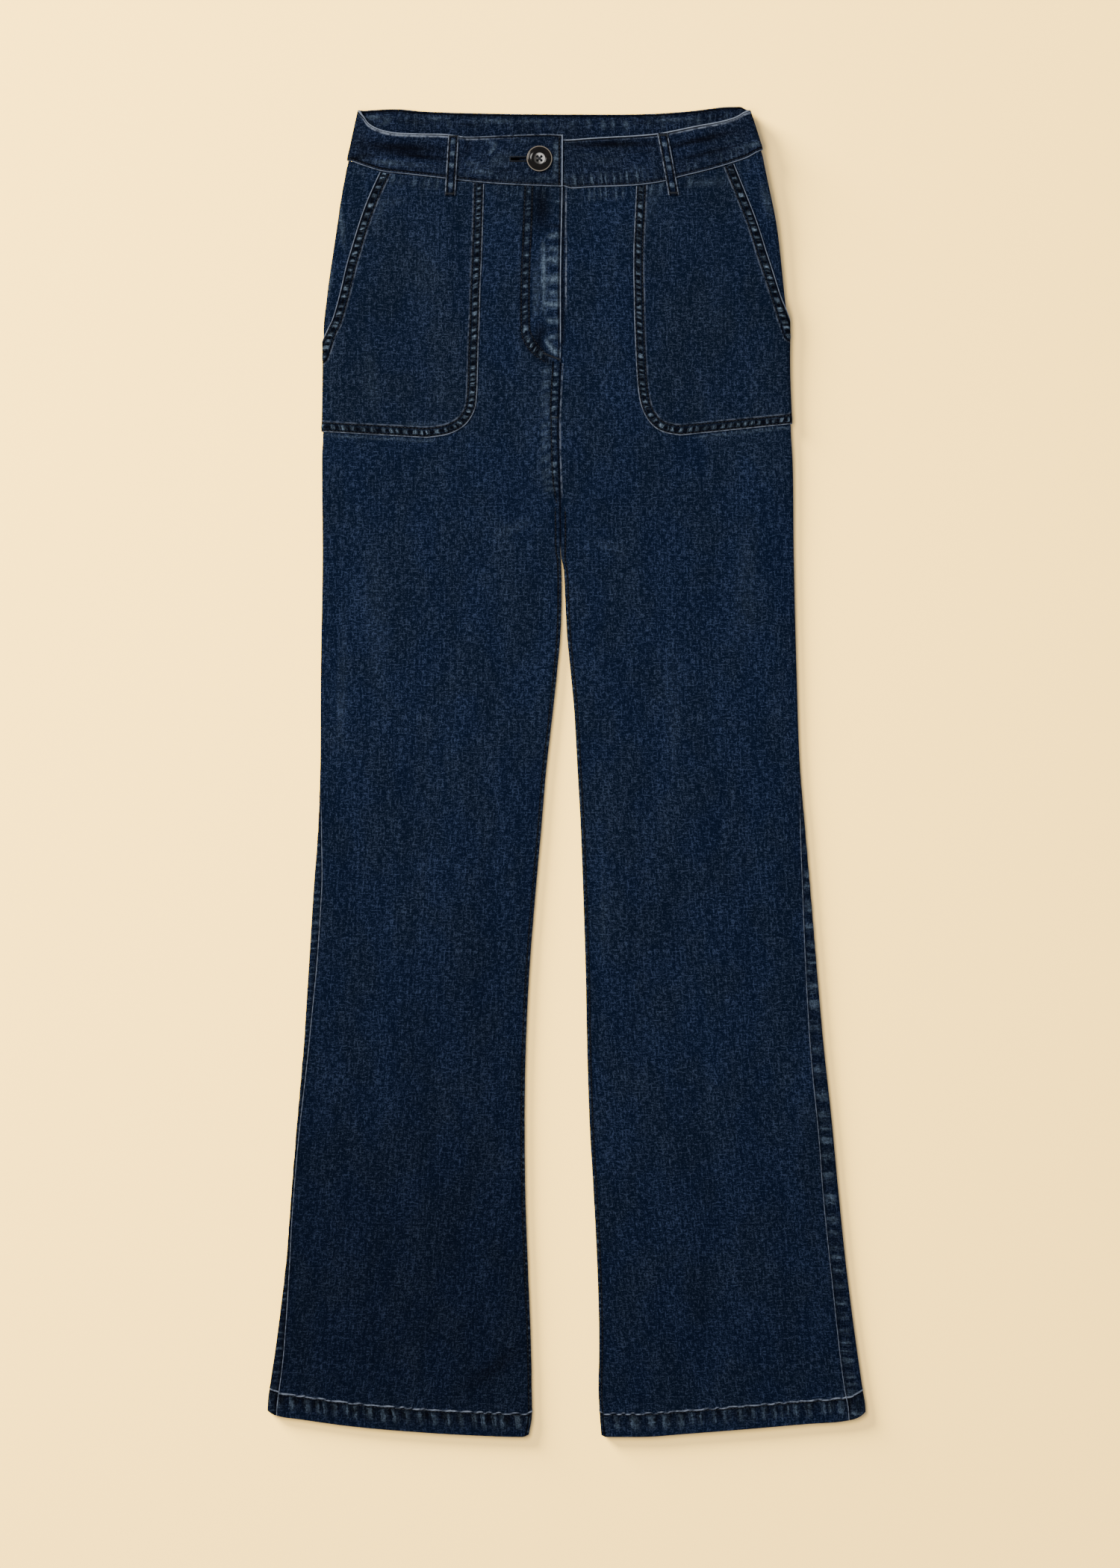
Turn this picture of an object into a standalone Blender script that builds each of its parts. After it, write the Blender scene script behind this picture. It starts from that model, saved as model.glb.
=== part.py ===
"""Wide leg jeans, laid flat with the front up.

Metres, +Z up. +X is the wearer's left, +Y runs to the waist and Z = 0 is the surface that the
jeans rest on. The origin is the middle of their outline, at the bottom.

Every cloth piece is a wall between an outer and an inner grid of points. The grids are read
from one skin: at each level along the leg a ring gives the two edges, the rounded sides, the
flat underside and the top. A place on a ring is its girth, the distance walked round it from
the outer edge: positive over the front, negative under the back.
"""
import math

import bmesh
import bpy
from mathutils import Vector

MM = 0.001
COLLECTION = "wide_leg_jeans"
RIGHT, LEFT = -1, 1                   # the wearer's sides, as signs of X
SIDE_NAMES = {RIGHT: "right", LEFT: "left"}

# Cloth
WALL = 1.2 * MM                       # one layer of stretch denim with its sewn-in ease
HEM_WALL = 2.3 * MM                   # turned up and sewn down
BAND_WALL = 2.4 * MM                  # the waistband is two layers
GAP = 0.3 * MM                        # between neighbours at every seam
HEM_DEPTH = 20 * MM
HEM_TOP = -531 * MM                   # between the two rows where the wall gets thicker

# Fly, on the wearer's right, laps over the left
FLY_WIDTH = 33 * MM
FLY_BOTTOM = 346 * MM
FLY_CORNER = 20 * MM
FLY_FADE = 6 * MM
FLY_RAISE = WALL + GAP
FLY_UNDERLAP = 12 * MM
FLY_UNDERLAP_END = 349 * MM

# Waistband
BAND_LIFT = 1.8 * MM                  # how far it stands out from the panels
BAND_STEP = (BAND_WALL + GAP) / 2 + 0.1 * MM   # raise of the overlap, and drop of the underlap
BAND_UNDERLAP = 35 * MM
OVERLAP_RISE = (80 * MM, 40 * MM)     # it rises between these distances from its end
UNDERLAP_DROP = (19 * MM, 1 * MM)     # it drops between these distances from the overlap
BAND_ROWS = 4
UNDERLAP_COLUMNS = 2

# Patch pockets
POCKET_LIFT = GAP + WALL
POCKET_MOUTH_LIFT = 0.5 * MM

# Belt loops
LOOP_WIDTH = 9 * MM
LOOP_WALL = 1.5 * MM
LOOP_ARCH = 1.3 * MM
LOOP_TAIL = 7 * MM                    # sewn down below the waistband
LOOP_ROWS = 9
FRONT_LOOPS = {RIGHT: (-95.0 * MM, -98.0 * MM), LEFT: (80.8 * MM, 90.4 * MM)}   # X of top and foot
BACK_LOOP_WALL = 1.2 * MM
BACK_LOOP_PLACES = (-98 * MM, -3 * MM, 92 * MM)

# Button and buttonhole
BUTTON_X, BUTTON_LEVEL = -22.7 * MM, 516 * MM
BUTTON_THICKNESS = 3.4 * MM
BUTTON_HOLE_RADIUS = 0.9 * MM
BUTTON_HOLE_CIRCLE = 2.3 * MM
BUTTON_HOLES = 4
BUTTON_HOLE_STEPS = 10
BUTTONHOLE_LENGTH = 25 * MM
BUTTONHOLE_WIDTH = 2.2 * MM
ROUND_STEPS = 32
MERGE = 0.01 * MM

# Columns of the grids
CURVE_STEPS = 3                       # round a quarter of a rounded side
PAST_CURVE = 3 * MM                   # a column this far past it
FRONT_COLUMNS = 5                     # from there to the fly
FLY_COLUMN = 14 * MM                  # a column this far inside the fly's edge
ROUND_COLUMNS = 4                     # from the top of the side to its underside
UNDER_COLUMNS = 4
POCKET_COLUMNS = 6

# Sections
LEGS_PART = 240 * MM                  # the inner edges start to round here
LEGS_PART_OVER = 36 * MM              # and are fully round this far below
STRAIGHT = 0.01                       # an inner edge that turns less is a plain end
PROBE = 0.05 * MM                     # half the step that gives a section's slope


def table(columns, *rows):
    """Rows of millimetres under named columns, returned as one list of metres for each name."""
    names = columns.split()
    return {name: [row[i] * MM for row in rows] for i, name in enumerate(names)}


# Outer edges of the two sides, distances from the middle line
SIDES = table(
    "level right left",
    (-562, 252.3, 252.6), (-540, 252.5, 252.6), (-520, 250.6, 250.0), (-482, 245.0, 244.6),
    (-420, 237.2, 236.6), (-357, 232.2, 230.0), (-294, 227.1, 224.0), (-231, 221.7, 217.2),
    (-168, 217.7, 211.6), (-105, 213.8, 206.3), (-42, 209.2, 200.9), (0, 207.9, 197.4),
    (84, 207.4, 194.4), (185, 205.9, 192.0), (262, 206.4, 191.0), (286, 205.4, 189.6),
    (350, 204.4, 187.4), (372, 205.0, 187.6), (399, 202.3, 184.5), (462, 193.3, 177.3),
    (494, 188.2, 170.8), (525, 181.6, 163.9), (562, 173.4, 152.4))

# Middle line above the crotch, then the inner edges of the legs, as X
INNER = table(
    "level right left",
    (-562, -32.2, 29.6), (-540, -29.0, 28.0), (-520, -29.3, 27.0), (-483, -29.9, 27.6),
    (-420, -32.4, 26.1), (-357, -34.6, 23.0), (-294, -35.2, 19.4), (-231, -34.2, 17.4),
    (-168, -31.2, 16.2), (-105, -26.3, 14.2), (-42, -20.7, 11.8), (0, -17.2, 9.4),
    (53, -11.2, 6.4), (84, -7.9, 3.6), (116, -5.0, 0.9), (153, -4.0, -0.9),
    (182, -5.2, -1.9), (205, -5.3, -4.3), (232, -5.4, -5.4), (258, -6.3, -6.3),
    (291, -7.0, -7.0), (319, -6.0, -6.0), (347, -4.7, -4.7), (420, -4.4, -4.4),
    (494, -3.0, -3.0), (562, -2.8, -2.8))

# Height of the laid garment: radius of the rounded sides, swell of the top, lift off the floor
HEIGHTS = table(
    "level radius crown base",
    (-562, 2.8, 0.3, 0), (-520, 2.7, 0.4, 0), (-460, 2.45, 0.5, 0), (150, 2.45, 0.5, 0),
    (250, 2.7, 0.6, 0), (350, 3.3, 0.8, 0), (400, 3.8, 1.0, 0), (435, 4.2, 1.0, 0),
    (465, 4.6, 0.9, 0.7), (495, 5.0, 0.8, 1.5), (525, 5.5, 0.6, 1.5), (562, 5.9, 0.4, 1.5))

# How far in from the outer edge the side seam lies on the front of each leg
SIDE_SEAM = table(
    "level right left",
    (-562, 7.4, 13.0), (-513, 8.0, 15.0), (-467, 5.7, 14.0), (-420, 2.9, 13.0),
    (-370, 1.6, 13.0), (-314, 1.8, 12.0), (-259, 3.2, 11.6), (-215, 4.4, 10.6),
    (-160, 6.4, 8.8), (-105, 6.6, 6.4), (-50, 2.6, 3.6), (-10, 0.3, 0.8),
    (30, 0, 0), (562, 0, 0))

# Waist seam and the front band's top edge, by the distance in from the side
FRONT_WAIST = {
    RIGHT: table(
        "inset seam top",
        (0, 515.3, 558.2), (4, 513.8, 552.6), (9, 512.0, 547.2), (16, 509.8, 543.2),
        (30, 505.9, 539.3), (55, 503.0, 537.7), (80, 500.2, 537.2), (100, 497.8, 535.0),
        (134, 494.8, 536.0), (171, 493.1, 537.0), (182, 492.7, 536.4)),
    LEFT: table(
        "inset seam top",
        (0, 524.2, 558.2), (4, 521.8, 556.0), (12, 517.8, 552.2), (28, 512.6, 548.1),
        (51, 506.3, 544.3), (73, 501.2, 540.2), (86, 497.6, 538.0), (109, 494.2, 536.0),
        (127, 493.2, 535.1), (147, 492.5, 534.0), (165, 491.4, 532.8),
        (172, 493.4, 532.7), (186, 494.0, 532.7), (208, 495.6, 532.7))}

# The same at the back
BACK_WAIST = {
    RIGHT: table(
        "inset seam top",
        (0, 515.3, 558.2), (30, 515.5, 559.6), (58, 515.8, 557.6), (130, 516.2, 555.7),
        (180, 516.5, 555.2)),
    LEFT: table(
        "inset seam top",
        (0, 524.2, 558.2), (5, 523.4, 561.6), (20, 521.4, 561.4), (50, 518.6, 558.2),
        (92, 517.2, 555.6), (171, 516.5, 555.2))}

# The lower edge of each leg, by the share of its width from the outer edge
HEM = {
    RIGHT: table(
        "share level",
        (0, -539.4), (30, -542.8), (130, -546.5), (310, -552.0), (560, -556.9),
        (810, -560.1), (975, -561.2), (1000, -559.6)),
    LEFT: table(
        "share level",
        (0, -540.6), (30, -545.0), (80, -547.8), (220, -550.2), (440, -554.4), (670, -558.4),
        (860, -561.2), (980, -561.2), (1000, -560.0))}

# Patch pockets: each row runs straight from an outer point, given by its distance in from the
# side, to an inner point. The slanted hand opening is the first rows' outer ends.
POCKETS = {
    RIGHT: table(
        "inset outer_level inner_x inner_level",
        (28.7, 499.3, -69.0, 499.3), (19.8, 467.0, -70.0, 467.0), (13.4, 432.0, -71.3, 432.0),
        (10.8, 407.0, -72.5, 407.0), (7.4, 384.0, -73.0, 384.0), (3.6, 374.0, -73.4, 374.0),
        (1.5, 368.5, -73.6, 368.5), (0.4, 365.0, -73.8, 365.0), (0, 362.0, -74.0, 362.0),
        (0, 339.0, -74.6, 339.0), (0, 319.0, -75.4, 317.0), (0, 306.0, -77.8, 304.0),
        (0, 297.0, -86.0, 292.0), (0, 291.0, -99.9, 284.6), (0, 287.0, -117.8, 281.8)),
    LEFT: table(
        "inset outer_level inner_x inner_level",
        (25.8, 499.3, 58.3, 499.3), (18.9, 470.0, 57.4, 470.0), (13.2, 446.0, 56.6, 446.0),
        (7.9, 423.0, 56.4, 423.0), (3.8, 404.0, 56.8, 404.0), (1.6, 393.0, 56.9, 393.0),
        (0.45, 386.0, 57.1, 386.0), (0, 380.0, 57.2, 380.0),
        (0, 352.0, 58.4, 352.0), (0, 328.0, 60.0, 326.0), (0, 313.0, 63.3, 307.6),
        (0, 304.0, 70.9, 294.0), (0, 298.0, 81.6, 286.6), (0, 293.6, 96.0, 283.8))}
POCKET_MOUTH_ROWS = 6

# The largest folds: soft ridges along the legs. x and level are the middle, lean is how far
# the ridge drifts across for each metre along, reach is half its length.
FOLDS = table(
    "x level lean reach width height",
    (-150, -250, -60, 260, 24, 0.7), (-88, -70, 30, 230, 22, 0.6), (-72, -505, 700, 60, 17, 0.8),
    (95, -330, 40, 250, 24, 0.7), (150, -60, 60, 220, 22, 0.6), (62, -230, -20, 190, 18, 0.6),
    (-120, 150, 40, 120, 24, 0.5), (110, 160, -60, 120, 24, 0.5))

# Rows of the panels, from the waist seam to the hem. The waist and hem rows bend to their seams.
TOP_ROW, TOP_BEND = 500 * MM, 440 * MM
HEM_ROW, HEM_BEND = -550 * MM, -500 * MM
PANEL_ROWS = [level * MM for level in (
    500, 480, 460, 440, 410, 380, 358, 349, 346, 338, 318, 295, 270, 250, 232, 218, 205, 182,
    150, 110, 60, 0, -60, -120, -180, -240, -300, -360, -420, -470, -505, -530.5, -532, -550)]

# Button: half its section, from the top middle over the dish and rim to the foot of the stem
BUTTON_PROFILE = table(
    "radius height",
    (0, 2.4), (4.86, 2.4), (8.9, 3.1), (9.85, 3.4), (10.5, 2.788), (10.8, 1.87), (10.1, 0.68),
    (7.56, 0), (0.8, 0), (0.8, -2.7), (0, -2.7))

DENIM = (0.0085, 0.0175, 0.038)
DENIM_POCKET = (0.0092, 0.0180, 0.036)
DENIM_BAND = (0.0070, 0.0120, 0.025)
HORN = (0.010, 0.008, 0.008)
CLOTH_ROUGHNESS, HORN_ROUGHNESS = 0.85, 0.25


def clear_scene():
    """Leave nothing of the start-up scene."""
    for thing in list(bpy.data.objects):
        bpy.data.objects.remove(thing, do_unlink=True)


def smoothstep(x):
    """Soft step from 0 to 1."""
    x = min(1.0, max(0.0, x))
    return x * x * (3 - 2 * x)


def read(curve, column, x, key="level"):
    """Smooth curve through a table's rows, read at x."""
    xs, ys = curve[key], curve[column]
    if x <= xs[0]:
        return ys[0]
    if x >= xs[-1]:
        return ys[-1]
    i = next(k for k in range(len(xs) - 1) if x <= xs[k + 1])
    slopes = [(ys[k + 1] - ys[k]) / (xs[k + 1] - xs[k]) for k in range(len(xs) - 1)]
    before = slopes[max(0, i - 1)]
    after = slopes[min(len(slopes) - 1, i + 1)]
    here = slopes[i]
    start = (before + here) / 2 if before * here > 0 else 0.0
    end = (here + after) / 2 if after * here > 0 else 0.0
    step = xs[i + 1] - xs[i]
    t = (x - xs[i]) / step
    return (ys[i] * (1 + 2 * t) * (1 - t) ** 2 + ys[i + 1] * t * t * (3 - 2 * t)
            + step * (start * t * (1 - t) ** 2 - end * t * t * (1 - t)))


def folds(x, level):
    """Height of the soft ridges at a place on the front."""
    height = 0.0
    for k, middle in enumerate(FOLDS["x"]):
        along = level - FOLDS["level"][k]
        across = x - middle - along * FOLDS["lean"][k]
        fade = 1 - smoothstep(abs(along) / FOLDS["reach"][k])
        height += FOLDS["height"][k] * fade * math.exp(-(across / FOLDS["width"][k]) ** 2)
    return height


def fly_mask(x, level):
    """1 on the fly's lap, falling to 0 outside its curved lower corner."""
    from_edge = read(INNER, "right", level) - FLY_WIDTH + FLY_CORNER
    dx = max(0.0, from_edge - x)
    dy = max(0.0, FLY_BOTTOM + FLY_CORNER - level)
    outside = math.hypot(dx, dy) - FLY_CORNER
    return 1 - smoothstep(outside / FLY_FADE)


class Ring:
    """The section of one leg, or of one half of the hips, at a level."""

    def __init__(self, side, level):
        name = SIDE_NAMES[side]
        self.side = side
        self.level = level
        self.edge = side * read(SIDES, name, level)
        self.width = side * (self.edge - read(INNER, name, level))
        self.radius = read(HEIGHTS, "radius", level)
        self.crown = read(HEIGHTS, "crown", level)
        self.base = read(HEIGHTS, "base", level)
        self.parted = smoothstep((LEGS_PART - level) / LEGS_PART_OVER)
        self.turn = self.parted * math.pi / 2
        self.quarter = self.radius * math.pi / 2
        self.flat = self.width - self.radius - self.radius * math.sin(self.turn)
        self.reach = self.quarter + self.flat + self.turn * self.radius

    def girth(self, inset):
        """Girth of a place given by its plain distance in from the outer edge."""
        if inset < self.radius:
            return self.radius * math.acos(1 - max(0.0, inset) / self.radius)
        return self.quarter + inset - self.radius

    def seam(self):
        """Girth of the side seam."""
        return self.girth(read(SIDE_SEAM, SIDE_NAMES[self.side], self.level))

    def top(self, x, share):
        """Height of the front at a share of the flat stretch."""
        inner_share = (1 - self.parted) * math.sin(share * math.pi / 2)
        swell = self.parted * math.sin(share * math.pi) + inner_share
        edges = smoothstep(6 * share) * (1 - self.parted * smoothstep(6 * share - 5))
        return 2 * self.radius + self.crown * swell + folds(x, self.level) * edges

    def place(self, girth):
        """Inset and height at a girth."""
        radius, walked = self.radius, abs(girth)
        over = 1 if girth >= 0 else -1
        if walked < self.quarter:
            angle = walked / radius
            return radius * (1 - math.cos(angle)), radius * (1 + over * math.sin(angle))
        inset = radius + walked - self.quarter
        if walked <= self.quarter + self.flat or self.turn < STRAIGHT:
            x = self.edge - self.side * inset
            share = min(1.0, (inset - radius) / self.flat)
            return inset, self.top(x, share) if over > 0 else 0.0
        angle = min(self.turn, (walked - self.quarter - self.flat) / radius)
        inset = radius + self.flat + radius * math.sin(angle)
        if over < 0:
            return inset, radius * (1 - math.cos(angle))
        x = self.edge - self.side * (radius + self.flat)
        return inset, self.top(x, 1.0) - radius * (1 - math.cos(angle))

    def refit(self, girth, nominal):
        """The girth here that matches a girth on a nearby ring."""
        walked, over = abs(girth), 1 if girth >= 0 else -1
        if walked < nominal.quarter:
            return girth * self.quarter / nominal.quarter
        if walked < nominal.quarter + nominal.flat:
            flat = (walked - nominal.quarter) * self.flat / nominal.flat
            return over * (self.quarter + flat)
        past = (walked - nominal.quarter - nominal.flat) * self.radius / nominal.radius
        return over * (self.quarter + self.flat + past)

    def point(self, girth, lift):
        """Point that stands off the skin by lift, along the ring's own normal."""
        low = max(girth - PROBE, -self.reach)
        high = min(girth + PROBE, max(self.reach, girth))
        here, before, after = self.place(girth), self.place(low), self.place(high)
        run, rise = after[0] - before[0], after[1] - before[1]
        length = math.hypot(run, rise)
        inset = here[0] - rise / length * lift
        height = here[1] + run / length * lift
        return Vector((self.edge - self.side * inset, self.level, self.base + height))


def new_material(name, colour, roughness, metallic=0.0):
    """A plain material with the part's colour."""
    material = bpy.data.materials.new(name)
    material.use_nodes = True
    shader = material.node_tree.nodes["Principled BSDF"]
    shader.inputs["Base Color"].default_value = (*colour, 1)
    shader.inputs["Roughness"].default_value = roughness
    shader.inputs["Metallic"].default_value = metallic
    material.diffuse_color = (*colour, 1)
    return material


def add_object(name, mesh, material, collection):
    """Put a mesh in the scene under its own name and material."""
    thing = bpy.data.objects.new(name, mesh)
    mesh.materials.append(material)
    collection.objects.link(thing)
    return thing


def cloth(name, outer, inner, material, collection):
    """Closed wall lofted between an outer and an inner grid of points."""
    grid = bmesh.new()
    outside = [[grid.verts.new(point) for point in row] for row in outer]
    inside = [[grid.verts.new(point) for point in row] for row in inner]
    rows, columns = len(outside), len(outside[0])
    for skin in (outside, inside):
        for r in range(rows - 1):
            for c in range(columns - 1):
                grid.faces.new((skin[r][c], skin[r][c + 1], skin[r + 1][c + 1], skin[r + 1][c]))
    for r in range(rows - 1):
        for c in (0, columns - 1):
            grid.faces.new((outside[r][c], outside[r + 1][c], inside[r + 1][c], inside[r][c]))
    for c in range(columns - 1):
        for r in (0, rows - 1):
            grid.faces.new((outside[r][c], outside[r][c + 1], inside[r][c + 1], inside[r][c]))
    bmesh.ops.recalc_face_normals(grid, faces=grid.faces)
    mesh = bpy.data.meshes.new(name)
    grid.to_mesh(mesh)
    grid.free()
    mesh.shade_smooth()
    mesh.set_sharp_from_angle(angle=math.radians(50))
    return add_object(name, mesh, material, collection)


def spread(first, last, count):
    """Count evenly spaced values after first, ending on last."""
    return [first + (last - first) * (k + 1) / count for k in range(count)]


def bend_row(ring, waist, girth):
    """Ring and girth of a place on a panel row, where end rows follow the waist seam and hem."""
    row, inset = ring.level, ring.place(girth)[0]
    if row > TOP_BEND:
        seam = read(waist, "seam", inset, "inset") - GAP / 2
        level = row + (seam - TOP_ROW) * (row - TOP_BEND) / (TOP_ROW - TOP_BEND)
    elif row < HEM_BEND:
        edge = read(HEM[ring.side], "level", inset / ring.width, "share")
        level = row + (edge - HEM_ROW) * (HEM_BEND - row) / (HEM_BEND - HEM_ROW)
    else:
        return ring, girth
    bent = Ring(ring.side, level)
    return bent, bent.refit(girth, ring)


def panel_wall(row):
    """The wall is thicker in the hem."""
    return HEM_WALL if row < HEM_TOP else WALL


def edge_stops(ring):
    """Girths round the first quarter of a panel's outer edge, then just past it."""
    curve = [ring.quarter * k / CURVE_STEPS for k in range(CURVE_STEPS + 1)]
    return curve + [ring.quarter + PAST_CURVE]


def inner_stops(ring):
    """Distances back from a panel's inner end that follow its rounded edge."""
    return edge_stops(ring)[::-1]


def front_girths(ring, underlap):
    """Columns of a front panel, from the side seam to the inner end."""
    seam = ring.seam() + GAP / 2
    end = ring.reach - GAP / 2 + underlap
    stops = [seam + stop for stop in edge_stops(ring)]
    fly_line = end - underlap - FLY_WIDTH
    stops += spread(stops[-1], fly_line - FLY_FADE - MM, FRONT_COLUMNS)
    stops += [fly_line, fly_line + FLY_COLUMN]
    return stops + [end - back for back in inner_stops(ring)]


def back_girths(ring):
    """Columns of a back panel, from the side seam round the edge and under to the inner end."""
    seam = ring.seam() - GAP / 2
    curve_top = min(seam - MM, ring.quarter)
    stops = [seam, (seam + curve_top) / 2, curve_top]
    stops += spread(curve_top, -ring.quarter, ROUND_COLUMNS)
    stops.append(-ring.quarter - PAST_CURVE)
    end = -(ring.reach - GAP / 2)
    inner = [end + back for back in inner_stops(ring)]
    stops += spread(stops[-1], inner[0], UNDER_COLUMNS)[:-1]
    return stops + inner


def front_panel(side, material, collection):
    """Front of one leg and half the hips. The right one is raised where the fly laps over."""
    outer, inner = [], []
    for row in PANEL_ROWS:
        nominal = Ring(side, row)
        laps = side == LEFT and row >= FLY_UNDERLAP_END
        outer_row, inner_row = [], []
        for place in front_girths(nominal, FLY_UNDERLAP if laps else 0.0):
            ring, girth = bend_row(nominal, FRONT_WAIST[side], place)
            x = ring.edge - side * ring.place(girth)[0]
            raise_fly = FLY_RAISE * fly_mask(x, ring.level) if side == RIGHT else 0.0
            outer_row.append(ring.point(girth, raise_fly))
            inner_row.append(ring.point(girth, raise_fly - panel_wall(row)))
        outer.append(outer_row)
        inner.append(inner_row)
    return cloth(f"front_panel_{SIDE_NAMES[side]}", outer, inner, material, collection)


def back_panel(side, material, collection):
    """Back of one leg and half the seat, flat where it rests."""
    outer, inner = [], []
    for row in PANEL_ROWS:
        nominal = Ring(side, row)
        outer_row, inner_row = [], []
        for place in back_girths(nominal):
            ring, girth = bend_row(nominal, BACK_WAIST[side], place)
            outer_row.append(ring.point(girth, 0.0))
            inner_row.append(ring.point(girth, -panel_wall(row)))
        outer.append(outer_row)
        inner.append(inner_row)
    return cloth(f"back_panel_{SIDE_NAMES[side]}", outer, inner, material, collection)


def pocket(side, material, collection):
    """Patch pocket on the front panel, with a slanted hand opening and a round lower corner."""
    rows = POCKETS[side]
    outer, inner = [], []
    for k, inset in enumerate(rows["inset"]):
        outer_level, inner_level = rows["outer_level"][k], rows["inner_level"][k]
        start_ring = Ring(side, outer_level)
        end_ring = Ring(side, inner_level)
        start = start_ring.girth(inset) + GAP / 2
        end = end_ring.girth(side * (end_ring.edge - rows["inner_x"][k]))
        girths = [start + stop for stop in edge_stops(start_ring)]
        girths += spread(girths[-1], end, POCKET_COLUMNS)
        outer_row, inner_row = [], []
        for column, place in enumerate(girths):
            share = (place - start) / (end - start)
            nominal = Ring(side, outer_level + (inner_level - outer_level) * share)
            ring, girth = bend_row(nominal, FRONT_WAIST[side], place)
            mouth = POCKET_MOUTH_LIFT if k < POCKET_MOUTH_ROWS and column < 3 else 0.0
            outer_row.append(ring.point(girth, POCKET_LIFT + mouth))
            inner_row.append(ring.point(girth, GAP + mouth))
        outer.append(outer_row)
        inner.append(inner_row)
    return cloth(f"pocket_{SIDE_NAMES[side]}", outer, inner, material, collection)


def band_level(waist, inset, share):
    """Level at a share of the waistband's height, just above the waist seam at its foot."""
    seam = read(waist, "seam", inset, "inset") + GAP / 2
    return seam + (read(waist, "top", inset, "inset") - seam) * share


def band_step(side, from_middle):
    """Lift of the front band where its overlap rises and its underlap drops."""
    start, end = OVERLAP_RISE if side == RIGHT else UNDERLAP_DROP
    share = smoothstep((start - from_middle) / (start - end))
    return BAND_STEP * share if side == RIGHT else -BAND_STEP * share


def front_band(side, material, collection):
    """Front half of the waistband. The right half ends on top, the left half runs under it."""
    middle_ring = Ring(side, TOP_ROW)
    girths = front_girths(middle_ring, FLY_UNDERLAP if side == LEFT else 0.0)
    if side == LEFT:
        girths += spread(girths[-1], middle_ring.reach + BAND_UNDERLAP, UNDERLAP_COLUMNS)
    outer, inner = [], []
    for k in range(BAND_ROWS + 1):
        outer_row, inner_row = [], []
        for place in girths:
            inset = middle_ring.place(place)[0]
            ring = Ring(side, band_level(FRONT_WAIST[side], inset, k / BAND_ROWS))
            girth = ring.refit(place, middle_ring)
            lift = BAND_LIFT + band_step(side, middle_ring.width - inset)
            outer_row.append(ring.point(girth, lift))
            inner_row.append(ring.point(girth, lift - BAND_WALL))
        outer.append(outer_row)
        inner.append(inner_row)
    return cloth(f"waistband_front_{SIDE_NAMES[side]}", outer, inner, material, collection)


def back_band(material, collection):
    """Back of the waistband in one piece, from side seam to side seam."""
    outer, inner = [], []
    for k in range(BAND_ROWS + 1):
        outer_row, inner_row = [], []
        for side in (RIGHT, LEFT):
            middle_ring = Ring(side, TOP_ROW)
            girths = back_girths(middle_ring)[:-CURVE_STEPS - 1] + [-middle_ring.reach]
            if side == LEFT:
                girths = girths[-2::-1]    # from beside the middle out to the left side seam
            for place in girths:
                inset = middle_ring.place(place)[0]
                ring = Ring(side, band_level(BACK_WAIST[side], inset, k / BAND_ROWS))
                girth = ring.refit(place, middle_ring)
                lift = BAND_LIFT * (1 - smoothstep(-girth / ring.quarter))
                outer_row.append(ring.point(girth, lift))
                inner_row.append(ring.point(girth, lift - BAND_WALL))
        outer.append(outer_row)
        inner.append(inner_row)
    return cloth("waistband_back", outer, inner, material, collection)


def front_loop(side, top_x, foot_x, material, collection):
    """Belt loop: a narrow strip sewn down at the band's top edge and just below its foot."""
    middle_ring = Ring(side, TOP_ROW)
    inset = side * (middle_ring.edge - top_x)
    top = band_level(FRONT_WAIST[side], inset, 1.0)
    foot = band_level(FRONT_WAIST[side], inset, 0.0) - LOOP_TAIL
    outer, inner = [], []
    for k in range(LOOP_ROWS + 1):
        share = k / LOOP_ROWS
        level = foot + (top - foot) * share
        ring = Ring(side, level)
        middle = foot_x + (top_x - foot_x) * share
        lift = BAND_LIFT + GAP + LOOP_ARCH * math.sin(share * math.pi)
        outer_row, inner_row = [], []
        for offset in (-LOOP_WIDTH / 2, 0.0, LOOP_WIDTH / 2):
            girth = ring.girth(side * (ring.edge - middle - offset))
            outer_row.append(ring.point(girth, lift + LOOP_WALL))
            inner_row.append(ring.point(girth, lift))
        outer.append(outer_row)
        inner.append(inner_row)
    name = f"belt_loop_front_{SIDE_NAMES[side]}"
    return cloth(name, outer, inner, material, collection)


def back_loop(number, x, material, collection):
    """Plain belt loop under the back band, flat on the floor."""
    side = LEFT if x > Ring(LEFT, TOP_ROW).edge - Ring(LEFT, TOP_ROW).width else RIGHT
    inset = side * (Ring(side, TOP_ROW).edge - x)
    foot = band_level(BACK_WAIST[side], inset, 0.0) - LOOP_TAIL
    top = band_level(BACK_WAIST[side], inset, 1.0)
    bpy.ops.mesh.primitive_cube_add(size=1, location=(x, (foot + top) / 2, BACK_LOOP_WALL / 2))
    thing = bpy.context.object
    thing.name = thing.data.name = f"belt_loop_back_{number}"
    thing.data.transform(thing.matrix_world.Diagonal((LOOP_WIDTH, top - foot, BACK_LOOP_WALL, 1)))
    for owner in list(thing.users_collection):
        owner.objects.unlink(thing)
    collection.objects.link(thing)
    thing.data.materials.append(material)
    return thing


def cut(target, cutter, cutters):
    """Subtract a cutter, which stays in its own collection as a wire guide."""
    for owner in list(cutter.users_collection):
        owner.objects.unlink(cutter)
    cutters.objects.link(cutter)
    cutter.hide_render = True
    cutter.display_type = "WIRE"
    boolean = target.modifiers.new(cutter.name, "BOOLEAN")
    boolean.operation = "DIFFERENCE"
    boolean.object = cutter


def button_seat():
    """Height of the overlap's outer face under the button."""
    ring = Ring(RIGHT, BUTTON_LEVEL)
    girth = ring.girth(BUTTON_X - ring.edge)
    return ring.point(girth, BAND_LIFT + BAND_STEP).z


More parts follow.
